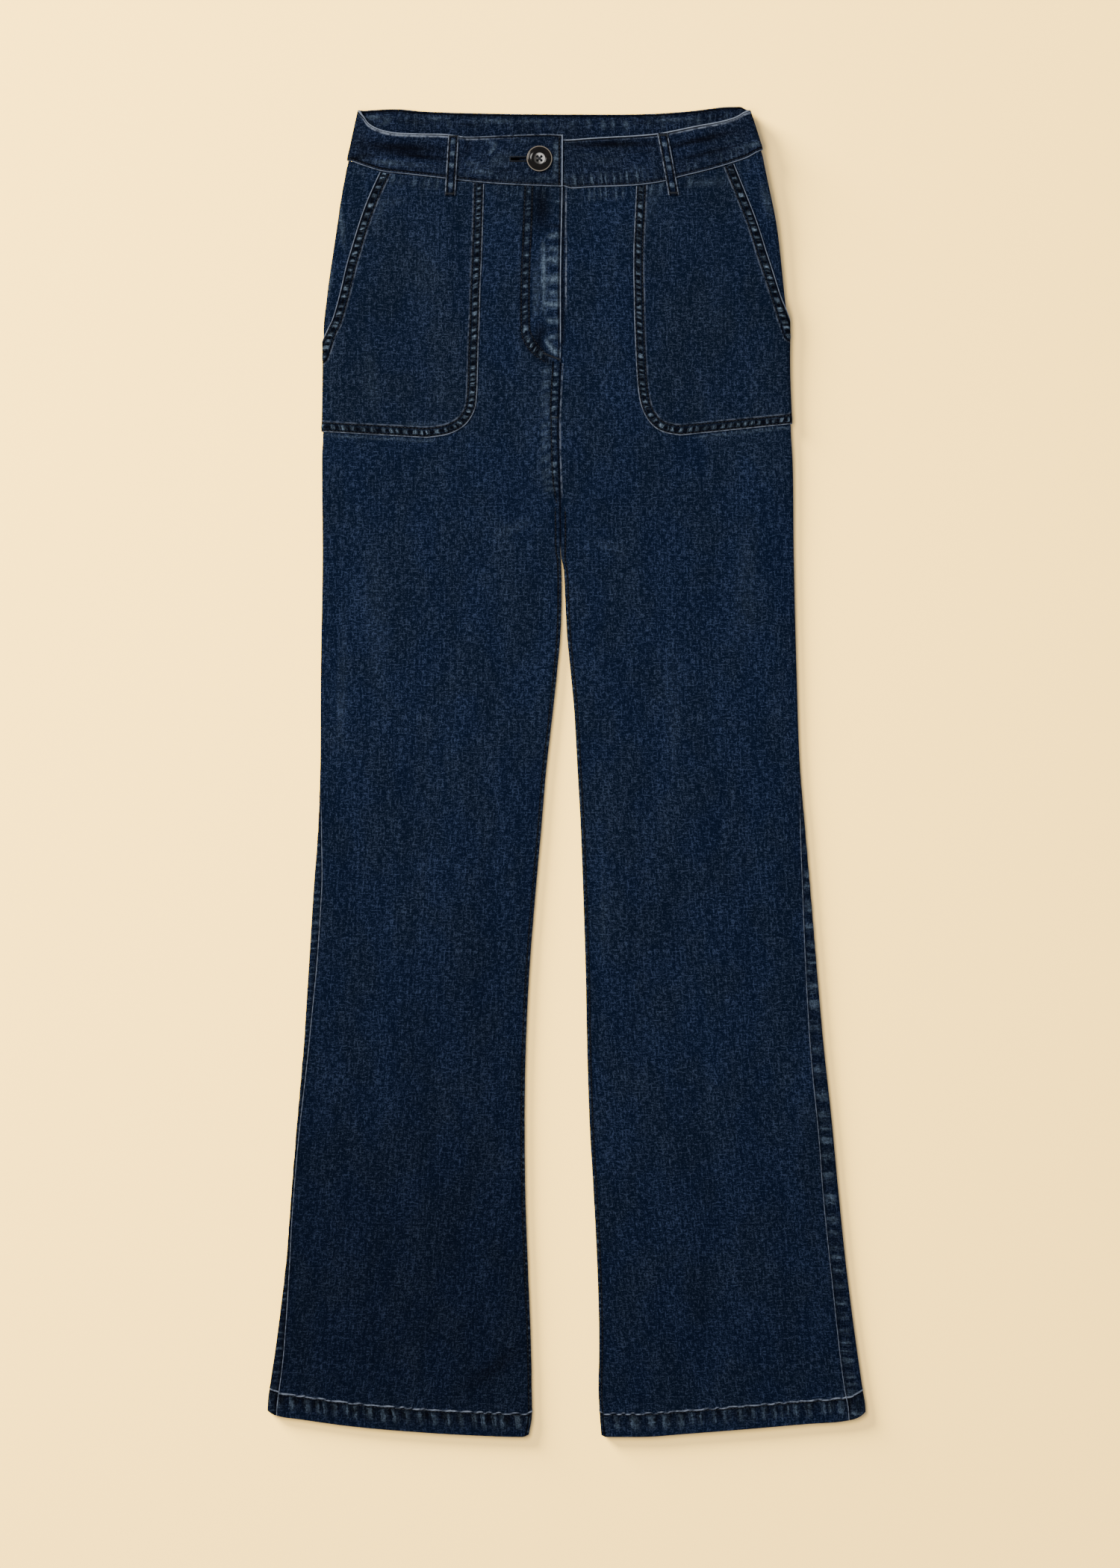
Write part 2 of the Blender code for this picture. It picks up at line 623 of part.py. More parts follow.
def button(material, collection, cutters):
    """Four-hole button with a rim and a dished face, on a stem that passes the buttonhole."""
    outline = bmesh.new()
    profile = zip(BUTTON_PROFILE["radius"], BUTTON_PROFILE["height"])
    points = [outline.verts.new((radius, 0, height)) for radius, height in profile]
    for upper, lower in zip(points, points[1:]):
        outline.edges.new((upper, lower))
    mesh = bpy.data.meshes.new("button")
    outline.to_mesh(mesh)
    outline.free()
    thing = add_object("button", mesh, material, collection)
    thing.location = (BUTTON_X, BUTTON_LEVEL, button_seat() + GAP)
    turn = thing.modifiers.new("turn", "SCREW")
    turn.steps = turn.render_steps = ROUND_STEPS
    turn.use_merge_vertices = True
    turn.merge_threshold = MERGE
    turn.use_smooth_shade = True
    for k in range(BUTTON_HOLES):
        angle = (k + 0.5) * 2 * math.pi / BUTTON_HOLES
        place = Vector((math.cos(angle), math.sin(angle), 0)) * BUTTON_HOLE_CIRCLE
        bpy.ops.mesh.primitive_cylinder_add(
            vertices=BUTTON_HOLE_STEPS, radius=BUTTON_HOLE_RADIUS, depth=4 * BUTTON_THICKNESS,
            location=thing.location + place)
        hole = bpy.context.object
        hole.name = f"button_hole_{k + 1}"
        cut(thing, hole, cutters)
    return thing


def buttonhole(band, cutters):
    """Slot through the overlap, from beside the button to its stem."""
    right_end = BUTTON_X + BUTTONHOLE_WIDTH / 2
    bpy.ops.mesh.primitive_cube_add(
        size=1, location=(right_end - BUTTONHOLE_LENGTH / 2, BUTTON_LEVEL, button_seat()))
    slot = bpy.context.object
    slot.name = "buttonhole_slot"
    slot.data.transform(
        slot.matrix_world.Diagonal((BUTTONHOLE_LENGTH, BUTTONHOLE_WIDTH, 3 * BAND_WALL, 1)))
    cut(band, slot, cutters)


def build():
    """Make every piece."""
    clear_scene()
    pieces = bpy.data.collections.new(COLLECTION)
    cutters = bpy.data.collections.new("cutters")
    for collection in (pieces, cutters):
        bpy.context.scene.collection.children.link(collection)

    def cloth_material(name, colour):
        return new_material(name, colour, CLOTH_ROUGHNESS)

    for side in (RIGHT, LEFT):
        name = SIDE_NAMES[side]
        back_panel(side, cloth_material(f"denim_back_{name}", DENIM), pieces)
        front_panel(side, cloth_material(f"denim_front_{name}", DENIM), pieces)
        pocket(side, cloth_material(f"denim_pocket_{name}", DENIM_POCKET), pieces)

    back_band(cloth_material("denim_band_back", DENIM_BAND), pieces)
    overlap = front_band(RIGHT, cloth_material("denim_band_right", DENIM_BAND), pieces)
    front_band(LEFT, cloth_material("denim_band_left", DENIM_BAND), pieces)

    for side, (top_x, foot_x) in FRONT_LOOPS.items():
        material = cloth_material(f"denim_loop_front_{SIDE_NAMES[side]}", DENIM_BAND)
        front_loop(side, top_x, foot_x, material, pieces)
    for number, x in enumerate(BACK_LOOP_PLACES, start=1):
        back_loop(number, x, cloth_material(f"denim_loop_back_{number}", DENIM_BAND), pieces)

    button(new_material("button_horn", HORN, HORN_ROUGHNESS), pieces, cutters)
    buttonhole(overlap, cutters)


build()
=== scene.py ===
# %% [markdown]
# # Wide leg jeans, laid flat
# The jeans lie on a plain pale surface with the front up, and the camera looks straight down.
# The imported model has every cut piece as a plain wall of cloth. This lesson loads it as a fixed
# frame and gives each piece its looks: fine creases, puckers along the seams, worn folds, denim
# and real stitches. All lengths are in metres, and tables are written in millimetres.

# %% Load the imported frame
import math

import bpy
import numpy as np
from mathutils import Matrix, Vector


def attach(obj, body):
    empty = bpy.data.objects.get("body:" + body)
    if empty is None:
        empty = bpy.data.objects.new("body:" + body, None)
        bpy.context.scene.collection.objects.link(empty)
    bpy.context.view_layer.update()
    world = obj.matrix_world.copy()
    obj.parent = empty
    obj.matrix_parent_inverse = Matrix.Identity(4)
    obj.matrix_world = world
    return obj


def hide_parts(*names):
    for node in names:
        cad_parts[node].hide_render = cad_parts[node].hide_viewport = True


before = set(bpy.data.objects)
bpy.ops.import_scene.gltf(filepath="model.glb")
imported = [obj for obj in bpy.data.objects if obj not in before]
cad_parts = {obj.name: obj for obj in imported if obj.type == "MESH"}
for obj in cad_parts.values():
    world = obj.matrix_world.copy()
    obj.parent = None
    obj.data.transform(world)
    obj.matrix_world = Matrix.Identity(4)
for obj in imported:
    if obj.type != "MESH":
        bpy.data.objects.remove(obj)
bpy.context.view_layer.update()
MM = 0.001
RIGHT, LEFT = -1, 1                   # the wearer's sides, as signs of X
SIDE_NAMES = {RIGHT: "right", LEFT: "left"}

# %% [markdown]
# ## Camera
# The photo is taken from straight above. One photo pixel covers 0.63 mm of cloth, so the frame
# is 0.945 by 1.323 m. A long lens from high up keeps the lines as straight as they are there.
# Blender measures the sensor along the longer side of the picture, which is its height here.

# %% Camera over the middle of the photo
PHOTO_HEIGHT = 2100
PIXEL = 0.63 * MM
PHOTO_MIDDLE = Vector((-5.4, -10.1, 5.0)) * MM
CAMERA_HEIGHT, CAMERA_REACH = 4.2, 50
SENSOR = 36.0


def linked(name, data):
    """A new object in the scene."""
    made = bpy.data.objects.new(name, data)
    bpy.context.scene.collection.objects.link(made)
    return made


def new_mesh(name, points, faces, edges=()):
    mesh = bpy.data.meshes.new(name)
    mesh.from_pydata(points, list(edges), faces)
    return mesh


def make_camera():
    data = bpy.data.cameras.new("camera")
    data.sensor_width = SENSOR
    data.lens = SENSOR * CAMERA_HEIGHT / (PHOTO_HEIGHT * PIXEL)
    data.clip_end = CAMERA_REACH
    camera = linked("camera", data)
    camera.location = PHOTO_MIDDLE + Vector((0, 0, CAMERA_HEIGHT))
    bpy.context.scene.camera = camera
    return camera


print("lens:", round(make_camera().data.lens, 1), "mm")

# %% [markdown]
# ## Light
# The photo has soft studio light. A large lamp at the upper left gives the short soft shadow to
# the right of the hips and below the hems, and a pale sky fills the rest. The paper in the photo
# is exposed almost to white while the denim stays deep. Two more lamps, linked to the paper alone,
# do that without greying the cloth. One is high, and one is large and low, so that even this thin
# garment has a soft shadow that reaches a few centimetres.

# %% Lamp and sky
LAMP_PLACE = Vector((-1.5, 1.3, 2.6))
LAMP_SIZE = 1.1
LAMP_POWER = 62
LAMP_COLOUR = (1.0, 0.965, 0.90)
PAPER_LAMP_COLOUR = (1.0, 0.827, 0.25)
PAPER_LAMPS = (("paper_lamp_high", (-0.7, 0.06, 1.62), 1.2, 66),
               ("paper_lamp_low", (-5.37, 4.61, 1.76), 3.1, 7502))
SKY_COLOUR = (0.98, 0.985, 1.0)
SKY_STRENGTH = 0.52


def make_lamp(name, place, size, power, colour):
    data = bpy.data.lights.new(name, "AREA")
    data.shape = "DISK"
    data.size = size
    data.energy = power
    data.color = colour
    lamp = linked(name, data)
    lamp.location = place
    lamp.rotation_mode = "QUATERNION"
    lamp.rotation_quaternion = (-place).to_track_quat("-Z", "Y")
    lamp.visible_camera = False
    return lamp


def make_sky():
    sky = bpy.data.worlds.new("sky")
    sky.use_nodes = True
    background = sky.node_tree.nodes["Background"]
    background.inputs["Color"].default_value = (*SKY_COLOUR, 1)
    background.inputs["Strength"].default_value = SKY_STRENGTH
    bpy.context.scene.world = sky
    return sky


lamp = make_lamp("lamp", LAMP_PLACE, LAMP_SIZE, LAMP_POWER, LAMP_COLOUR)
print("light:", lamp.name, make_sky().name)

# %% [markdown]
# ## Shader maths in plain Python
# A material is a graph of nodes. Writing its maths as expressions keeps it short: a `Wire` holds
# a socket, and the usual operators on it add Math nodes. Every other node comes from one method,
# which takes the node's type, its settings and the values or links of its sockets.

# %% Wires and finishes
class Wire:
    """A socket that Python's own operators work on."""

    def __init__(self, finish, socket):
        self.finish, self.socket = finish, socket

    def maths(self, operation, first, second):
        return self.finish.node("ShaderNodeMath", {"operation": operation}, {0: first, 1: second})

    def __add__(self, other):
        return self.maths("ADD", self, other)

    def __sub__(self, other):
        return self.maths("SUBTRACT", self, other)

    def __rsub__(self, other):
        return self.maths("SUBTRACT", other, self)

    def __mul__(self, other):
        return self.maths("MULTIPLY", self, other)

    __radd__, __rmul__ = __add__, __mul__

    def most(self, other):
        return self.maths("MAXIMUM", self, other)

    def least(self, other):
        return self.maths("MINIMUM", self, other)


class Finish:
    """One material and its nodes."""

    def __init__(self, name):
        self.material = bpy.data.materials.new(name)
        self.material.use_nodes = True
        self.tree = self.material.node_tree
        self.shader = self.tree.nodes["Principled BSDF"]

    def set(self, socket, value):
        if isinstance(value, Wire):
            self.tree.links.new(value.socket, socket)
        elif hasattr(value, "__len__") and socket.type == "RGBA":
            socket.default_value = (*value[:3], 1)
        else:
            socket.default_value = value

    def node(self, kind, settings, sockets, output=0):
        made = self.tree.nodes.new(kind)
        for key, value in settings.items():
            setattr(made, key, value)
        for key, value in sockets.items():
            self.set(made.inputs[key], value)
        return Wire(self, made.outputs[output])

    def surface(self, specular=0.5, **values):
        self.shader.inputs["Specular IOR Level"].default_value = specular
        for key, value in values.items():
            self.set(self.shader.inputs[key.replace("_", " ").title()], value)
        return self.material

    def place(self):
        """Place on the object, in metres."""
        return self.node("ShaderNodeTexCoord", {}, {}, output=3)

    def attribute(self, name):
        return self.node("ShaderNodeAttribute", {"attribute_name": name}, {}, output=2)

    def noise(self, vector, scale, detail=2.0, roughness=0.5):
        place = self.node("ShaderNodeMapping", {}, {"Vector": vector, "Scale": scale})
        return self.node("ShaderNodeTexNoise", {},
                         {"Vector": place, "Scale": 1.0, "Detail": detail, "Roughness": roughness})

    def ramp(self, value, low, high, start=0.0, end=1.0):
        return self.node("ShaderNodeMapRange", {"interpolation_type": "SMOOTHSTEP"},
                         {"Value": value, 1: low, 2: high, 3: start, 4: end})

    def mix(self, factor, first, second):
        return self.node("ShaderNodeMix", {"data_type": "RGBA"},
                         {0: factor, 6: first, 7: second}, output=2)

    def bump(self, height, distance, strength=1.0, normal=None):
        sockets = {"Height": height, "Distance": distance, "Strength": strength}
        if normal is not None:
            sockets["Normal"] = normal
        return self.node("ShaderNodeBump", {}, sockets)


print("shader maths ready")

# %% [markdown]
# ## The surface the jeans lie on
# A plain cream floor, large enough that its edge never shows. It isn't part of the jeans. A little
# glow stands for the light that bounces about in a studio and fills the deepest shadow. The floor
# throws none of its light back up at the cloth.

# %% Floor
FLOOR_COLOUR, FLOOR_GLOW = (0.80, 0.58, 0.27), (0.15, 0.12, 0.08)
FLOOR_HALF = 20.0
FLOOR_LEVEL = -0.3 * MM


def make_floor():
    half = FLOOR_HALF
    corners = [(-half, -half), (half, -half), (half, half), (-half, half)]
    mesh = new_mesh("floor", [(x, y, FLOOR_LEVEL) for x, y in corners], [(0, 1, 2, 3)])
    mesh.materials.append(Finish("floor_paper").surface(
        specular=0.0, base_color=FLOOR_COLOUR, roughness=0.9, emission_color=FLOOR_GLOW,
        emission_strength=1.0))
    floor = linked("floor", mesh)
    floor.visible_diffuse = floor.visible_glossy = False
    return floor


def make_paper_lamps(floor):
    """Lamps that light the floor and nothing else."""
    lit = bpy.data.collections.new("lit_by_paper_lamps")
    lit.objects.link(floor)
    for name, place, size, power in PAPER_LAMPS:
        lamp = make_lamp(name, Vector(place), size, power, PAPER_LAMP_COLOUR)
        lamp.light_linking.receiver_collection = lit
    return lit


floor = make_floor()
print("stage:", floor.name, "with", make_paper_lamps(floor).name)

# %% [markdown]
# ## Smooth tables
# The outline of the jeans is a few named sizes at a few levels, in millimetres. A curve through
# them gives the size at any level. NumPy reads the curve for a whole grid of points at once.

# %% Tables and curves
def table(columns, *rows):
    """Rows of millimetres under named columns, as one array of metres for each name."""
    return {name: np.array([row[i] for row in rows], float) * MM
            for i, name in enumerate(columns.split())}


def both(columns, right, left):
    """A table for each side."""
    return {RIGHT: table(columns, *right), LEFT: table(columns, *left)}


def smoothstep(x):
    x = np.clip(x, 0.0, 1.0)
    return x * x * (3 - 2 * x)


def read(curve, column, x, key="level"):
    """Smooth curve through a table's rows, read at every x."""
    xs, ys = curve[key], curve[column]
    x = np.clip(x, xs[0], xs[-1])
    i = np.clip(np.searchsorted(xs, x) - 1, 0, len(xs) - 2)
    slopes = np.diff(ys) / np.diff(xs)
    before, here = slopes[np.maximum(i - 1, 0)], slopes[i]
    after = slopes[np.minimum(i + 1, len(slopes) - 1)]
    start = np.where(before * here > 0, (before + here) / 2, 0.0)
    end = np.where(after * here > 0, (here + after) / 2, 0.0)
    step = xs[i + 1] - xs[i]
    t = (x - xs[i]) / step
    return (ys[i] * (1 + 2 * t) * (1 - t) ** 2 + ys[i + 1] * t * t * (3 - 2 * t)
            + step * (start * t * (1 - t) ** 2 - end * t * t * (1 - t)))


# Outer edges of the two sides, distances from the middle line
SIDES = table(
    "level right left",
    (-562, 252.3, 252.6), (-540, 252.5, 252.6), (-520, 250.6, 250.0), (-482, 245.0, 244.6),
    (-420, 237.2, 236.6), (-357, 232.2, 230.0), (-294, 227.1, 224.0), (-231, 221.7, 217.2),
    (-168, 217.7, 211.6), (-105, 213.8, 206.3), (-42, 209.2, 200.9), (0, 207.9, 197.4),
    (84, 207.4, 194.4), (185, 205.9, 192.0), (262, 206.4, 191.0), (286, 205.4, 189.6),
    (350, 204.4, 187.4), (372, 205.0, 187.6), (399, 202.3, 184.5), (462, 193.3, 177.3),
    (494, 188.2, 170.8), (525, 181.6, 163.9), (562, 173.4, 152.4))

# Inner edges of the legs as X, which meet at the crotch and are the middle line above it
INNER = table(
    "level right left",
    (-562, -32.2, 29.6), (-540, -29.0, 28.0), (-520, -29.3, 27.0), (-483, -29.9, 27.6),
    (-420, -32.4, 26.1), (-357, -34.6, 23.0), (-294, -35.2, 19.4), (-231, -34.2, 17.4),
    (-168, -31.2, 16.2), (-105, -26.3, 14.2), (-42, -20.7, 11.8), (0, -17.2, 9.4),
    (53, -11.2, 6.4), (84, -7.9, 3.5), (116, -5.0, 0.5), (153, -4.1, -1.4), (172, -4.3, -2.4),
    (179, -4.6, -4.0), (184, -4.8, -4.8), (205, -5.0, -5.0), (232, -5.4, -5.4), (258, -6.3, -6.3),
    (291, -7.0, -7.0), (319, -6.0, -6.0), (347, -4.7, -4.7), (420, -4.4, -4.4),
    (494, -3.0, -3.0), (562, -2.8, -2.8))

# Height of the laid garment: radius of the rounded sides, swell of the top, lift off the floor
HEIGHTS = table(
    "level radius crown base",
    (-562, 2.8, 0.3, 0), (-520, 2.7, 0.4, 0), (-460, 2.45, 0.5, 0), (150, 2.45, 0.5, 0),
    (250, 2.7, 0.6, 0), (350, 3.3, 0.8, 0), (400, 3.8, 1.0, 0), (435, 4.2, 1.0, 0),
    (465, 4.6, 0.9, 0.7), (495, 5.0, 0.8, 1.5), (525, 5.5, 0.6, 1.5), (562, 5.9, 0.4, 1.5))

# How far in from the outer edge the side seam lies on the front of each leg
SIDE_SEAM = table(
    "level right left",
    (-562, 7.4, 13.0), (-513, 8.0, 15.0), (-467, 5.7, 14.0), (-420, 2.9, 13.0),
    (-370, 1.6, 13.0), (-314, 1.8, 12.0), (-259, 3.2, 11.6), (-215, 4.4, 10.6),
    (-160, 6.4, 8.8), (-105, 6.6, 6.4), (-50, 2.6, 3.6), (-10, 0.3, 0.8),
    (30, 0, 0), (562, 0, 0))
MEETING = INNER["level"][INNER["right"] == INNER["left"]]
print("crotch to hem:", round(float(MEETING[0] - INNER["level"][0]), 3), "m")

# %% [markdown]
# The waist seam and the top edge of the waistband dip towards the middle, and the hems are a
# little lower on the inner side. The patch pockets are rows of cloth from the slanted hand
# opening, or from the side seam below it, to the curved inner edge.

# %% Waist, hems and pockets
FRONT_WAIST = both(
    "inset seam top",
    right=(
        (0, 515.3, 558.2), (4, 513.8, 552.6), (9, 512.0, 547.2), (16, 509.8, 543.2),
        (30, 505.9, 539.3), (55, 503.0, 537.7), (80, 500.2, 537.2), (100, 497.8, 535.0),
        (134, 494.8, 536.0), (171, 493.1, 537.0), (182, 492.7, 536.4)),
    left=(
        (0, 524.2, 558.2), (4, 521.8, 556.0), (12, 517.8, 552.2), (28, 512.6, 548.1),
        (51, 506.3, 544.3), (73, 501.2, 540.2), (86, 497.6, 538.0), (109, 494.2, 536.0),
        (127, 493.2, 535.1), (147, 492.5, 534.0), (165, 491.4, 532.8),
        (172, 493.4, 532.7), (186, 494.0, 532.7), (208, 495.6, 532.7)))
BACK_WAIST = both(
    "inset seam top",
    right=(
        (0, 515.3, 558.2), (30, 515.5, 559.6), (58, 515.8, 557.6), (130, 516.2, 555.7),
        (180, 516.5, 555.2)),
    left=(
        (0, 524.2, 558.2), (5, 523.4, 561.6), (20, 521.4, 561.4), (50, 518.6, 558.2),
        (92, 517.2, 555.6), (171, 516.5, 555.2)))
HEM = both(
    "share level",
    right=(
        (0, -539.4), (30, -542.8), (130, -546.5), (310, -552.0), (560, -556.9),
        (810, -560.1), (975, -561.2), (1000, -559.6)),
    left=(
        (0, -540.6), (30, -545.0), (80, -547.8), (220, -550.2), (440, -554.4), (670, -558.4),
        (860, -561.2), (980, -561.2), (1000, -560.0)))
POCKETS = both(
    "inset outer_level inner_x inner_level",
    right=(
        (28.7, 499.3, -69.0, 499.3), (19.8, 467.0, -70.0, 467.0), (13.4, 432.0, -71.3, 432.0),
        (10.8, 407.0, -72.5, 407.0), (7.4, 384.0, -73.0, 384.0), (3.6, 374.0, -73.4, 374.0),
        (1.5, 368.5, -73.6, 368.5), (0.4, 365.0, -73.8, 365.0), (0, 362.0, -74.0, 362.0),
        (0, 339.0, -74.6, 339.0), (0, 319.0, -75.4, 317.0), (0, 306.0, -77.8, 304.0),
        (0, 297.0, -86.0, 292.0), (0, 291.0, -99.9, 284.6), (0, 287.0, -117.8, 281.8)),
    left=(
        (25.8, 499.3, 58.3, 499.3), (18.9, 470.0, 57.4, 470.0), (13.2, 446.0, 56.6, 446.0),
        (7.9, 423.0, 56.4, 423.0), (3.8, 404.0, 56.8, 404.0), (1.6, 393.0, 56.9, 393.0),
        (0.45, 386.0, 57.1, 386.0), (0, 380.0, 57.2, 380.0),
        (0, 352.0, 58.4, 352.0), (0, 328.0, 60.0, 326.0), (0, 313.0, 63.3, 307.6),
        (0, 304.0, 70.9, 294.0), (0, 298.0, 81.6, 286.6), (0, 293.6, 96.0, 283.8)))
print("pocket rows:", {SIDE_NAMES[side]: len(POCKETS[side]["inset"]) for side in POCKETS})

# %% [markdown]
# ## One skin for the whole garment
# At each level a section runs round one leg, or one half of the hips: up round the outer edge,
# over the front, and back under. A place on it is its girth, the distance walked from the outer
# edge, which is negative under the back. Every piece is a stretch of this skin, moved out by a
# small lift, so that neighbours fit and what lies on top never cuts in.

# %% Skin
WALL, HEM_WALL, BAND_WALL, GAP = 1.2 * MM, 2.3 * MM, 2.4 * MM, 0.3 * MM
FLY_WIDTH, FLY_BOTTOM, FLY_CORNER, FLY_FADE = 33 * MM, 346 * MM, 20 * MM, 6 * MM
FLY_RAISE = WALL + GAP
TOP_ROW, TOP_BEND = 500 * MM, 440 * MM
HEM_ROW, HEM_BEND = -550 * MM, -500 * MM
LEGS_PART, LEGS_PART_OVER = 194 * MM, 16 * MM
PROBE = 0.05 * MM

# The largest folds: soft ridges along the legs. Lean is how far one drifts across for each
# metre along, in thousandths, and reach is half its length.
FOLDS = table(
    "x level lean reach width height",
    (-150, -250, -60, 260, 24, 0.7), (-88, -70, 30, 230, 22, 0.6), (-72, -505, 700, 60, 17, 0.8),
    (95, -330, 40, 250, 24, 0.7), (150, -60, 60, 220, 22, 0.6), (62, -230, -20, 190, 18, 0.6),
    (-120, 150, 40, 120, 24, 0.5), (110, 160, -60, 120, 24, 0.5))


def folds(x, level):
    """Height of the soft ridges on the front."""
    height = 0.0
    for k, middle in enumerate(FOLDS["x"]):
        along = level - FOLDS["level"][k]
        across = x - middle - along * FOLDS["lean"][k]
        fade = 1 - smoothstep(np.abs(along) / FOLDS["reach"][k])
        height = height + FOLDS["height"][k] * fade * np.exp(-(across / FOLDS["width"][k]) ** 2)
    return height


def fly_mask(x, level):
    """1 on the fly's lap, falling to 0 outside its curved lower corner."""
    corner_x = read(INNER, "right", level) - FLY_WIDTH + FLY_CORNER
    dx = np.maximum(0.0, corner_x - x)
    dy = np.maximum(0.0, FLY_BOTTOM + FLY_CORNER - level)
    return 1 - smoothstep((np.hypot(dx, dy) - FLY_CORNER) / FLY_FADE)


class Skin:
    """Sections of one leg, or of one half of the hips, at an array of levels."""

    def __init__(self, side, level):
        name = SIDE_NAMES[side]
        self.side, self.level = side, np.asarray(level, float)
        self.edge = side * read(SIDES, name, level)
        self.width = side * (self.edge - read(INNER, name, level))
        self.radius = read(HEIGHTS, "radius", level)
        self.crown = read(HEIGHTS, "crown", level)
        self.base = read(HEIGHTS, "base", level)
        self.parted = smoothstep((LEGS_PART - self.level) / LEGS_PART_OVER)
        self.turn = self.parted * math.pi / 2
        self.quarter = self.radius * math.pi / 2
        self.flat = self.width - self.radius * (1 + np.sin(self.turn))
        self.reach = self.quarter + self.flat + self.turn * self.radius

    def girth(self, inset):
        """Girth of a place on the front given by its plain distance in from the outer edge."""
        inset = np.maximum(inset, 0.0)
        rounded = self.radius * np.arccos(np.clip(1 - inset / self.radius, -1, 1))
        return np.where(inset < self.radius, rounded, self.quarter + inset - self.radius)

    def seam(self):
        """Girth of the side seam."""
        return self.girth(read(SIDE_SEAM, SIDE_NAMES[self.side], self.level))

    def top(self, x, share):
        """Height of the front at a share of the flat stretch."""
        inner_share = (1 - self.parted) * np.sin(share * math.pi / 2)
        swell = self.parted * np.sin(share * math.pi) + inner_share
        edges = smoothstep(6 * share) * (1 - self.parted * smoothstep(6 * share - 5))
        return 2 * self.radius + self.crown * swell + folds(x, self.level) * edges

    def place(self, girth):
        """Inset and height at a girth."""
        radius, walked, over = self.radius, np.abs(girth), np.where(girth >= 0, 1.0, -1.0)
        run = walked - self.quarter
        past = np.where(self.turn < 0.01, 0.0, np.maximum(0.0, run - self.flat))
        run = run - past
        angle = np.minimum(self.turn, past / radius)
        x = self.edge - self.side * (radius + run)
        fall = radius * (1 - np.cos(angle))
        front = self.top(x, np.clip(run / self.flat, 0.0, 1.0)) - fall
        start = walked / radius
        rounded = walked < self.quarter
        inset = np.where(rounded, radius * (1 - np.cos(start)), radius + run + radius * np.sin(angle))
        height = np.where(rounded, radius * (1 + over * np.sin(start)),
                          np.where(over > 0, front, fall))
        return inset, height

    def refit(self, girth, nominal):
        """The girth here that matches a girth on a nearby section."""
        walked, over = np.abs(girth), np.where(girth >= 0, 1.0, -1.0)
        first = walked * self.quarter / nominal.quarter
        flat = self.quarter + (walked - nominal.quarter) * self.flat / nominal.flat
        past = (walked - nominal.quarter - nominal.flat) * self.radius / nominal.radius
        last = self.quarter + self.flat + past
        return over * np.where(walked < nominal.quarter, first,
                               np.where(walked < nominal.quarter + nominal.flat, flat, last))

    def plan_x(self, girth):
        """X of a girth, seen from above."""
        return self.edge - self.side * self.place(girth)[0]

    def points(self, girth, lift):
        """Points that stand off the skin by lift, along each section's own normal."""
        low = np.maximum(girth - PROBE, -self.reach)
        high = np.minimum(girth + PROBE, np.maximum(self.reach, girth))
        here, before, after = self.place(girth), self.place(low), self.place(high)
        run, rise = after[0] - before[0], after[1] - before[1]
        length = np.hypot(run, rise)
        inset = here[0] - rise / length * lift
        height = here[1] + run / length * lift
        level = np.broadcast_to(self.level, inset.shape)
        return np.stack([self.edge - self.side * inset, level, self.base + height], -1)


print("round one thigh:", round(2 * float(Skin(RIGHT, 0.2).reach), 3), "m")

# %% [markdown]
# ## Rows of the panels
# The top and bottom rows of a panel bend so that they follow the waist seam and the hem. The
# walls' rolled edges need close rows and columns at each end, and the rest is spaced evenly.

# %% Rows and columns
STEP = 1.0
EDGE_STEPS = np.array((0, 0.15, 0.4, 0.8, 1.3)) * MM
HIPS_END, HEM_START = 0.225, -0.520
FRONT_ROWS = (1.8 * MM, 5.0 * MM, 1.3 * MM)
BACK_ROWS = (5.0 * MM, 5.0 * MM, 1.5 * MM)


def stops(start, end, step, ends=(True, True)):
    """Values from start to end, each a number or one for each row, close together at the ends."""
    start, end = np.atleast_1d(start)[:, None], np.atleast_1d(end)[:, None]
    way = np.sign(end - start)
    first = EDGE_STEPS if ends[0] else EDGE_STEPS[:1]
    last = EDGE_STEPS if ends[1] else EDGE_STEPS[:1]
    inner_start, inner_end = start + way * first[-1], end - way * last[-1]
    count = max(1, int(np.max(np.abs(inner_end - inner_start)) / (step * STEP)))
    shares = np.arange(1, count) / count
    middle = inner_start + (inner_end - inner_start) * shares
    return np.concatenate([start + way * first, middle, end - way * last[::-1]], 1)


def stops_in_two(start, split, end, steps, ends=(True, True)):
    """Values from start to end whose step changes at a split."""
    return np.concatenate([stops(start, split, steps[0], (ends[0], False)),
                           stops(split, end, steps[1], (False, ends[1]))[:, 1:]], 1)


def panel_rows(hip_step, leg_step, hem_step):
    """Levels from the waist seam down to the hem, before the ends are bent."""
    hips = stops(TOP_ROW, HIPS_END, hip_step, (False, False))[0]
    legs = stops_in_two(HIPS_END, HEM_START, HEM_ROW, (leg_step, hem_step), (False, True))[0]
    return np.concatenate([hips, legs[1:]])


def bend_rows(side, rows, girths, waist):
    """Skin and girths of a panel whose end rows follow the waist seam and the hem."""
    nominal = Skin(side, rows[:, None])
    inset = nominal.place(girths)[0]
    seam = read(waist, "seam", inset, "inset") - GAP / 2
    hem = read(HEM[side], "level", inset / nominal.width, "share")
    up = np.clip((nominal.level - TOP_BEND) / (TOP_ROW - TOP_BEND), 0, None)
    down = np.clip((HEM_BEND - nominal.level) / (HEM_BEND - HEM_ROW), 0, None)
    level = nominal.level + (seam - TOP_ROW) * up + (hem - HEM_ROW) * down
    skin = Skin(side, level)
    return skin, skin.refit(girths, nominal)


def above_hem(side, skin, girth):
    """Distance up from the lower edge of the leg."""
    inset = skin.place(girth)[0]
    return skin.level - read(HEM[side], "level", inset / skin.width, "share")


print("panel rows:", len(panel_rows(*FRONT_ROWS)))

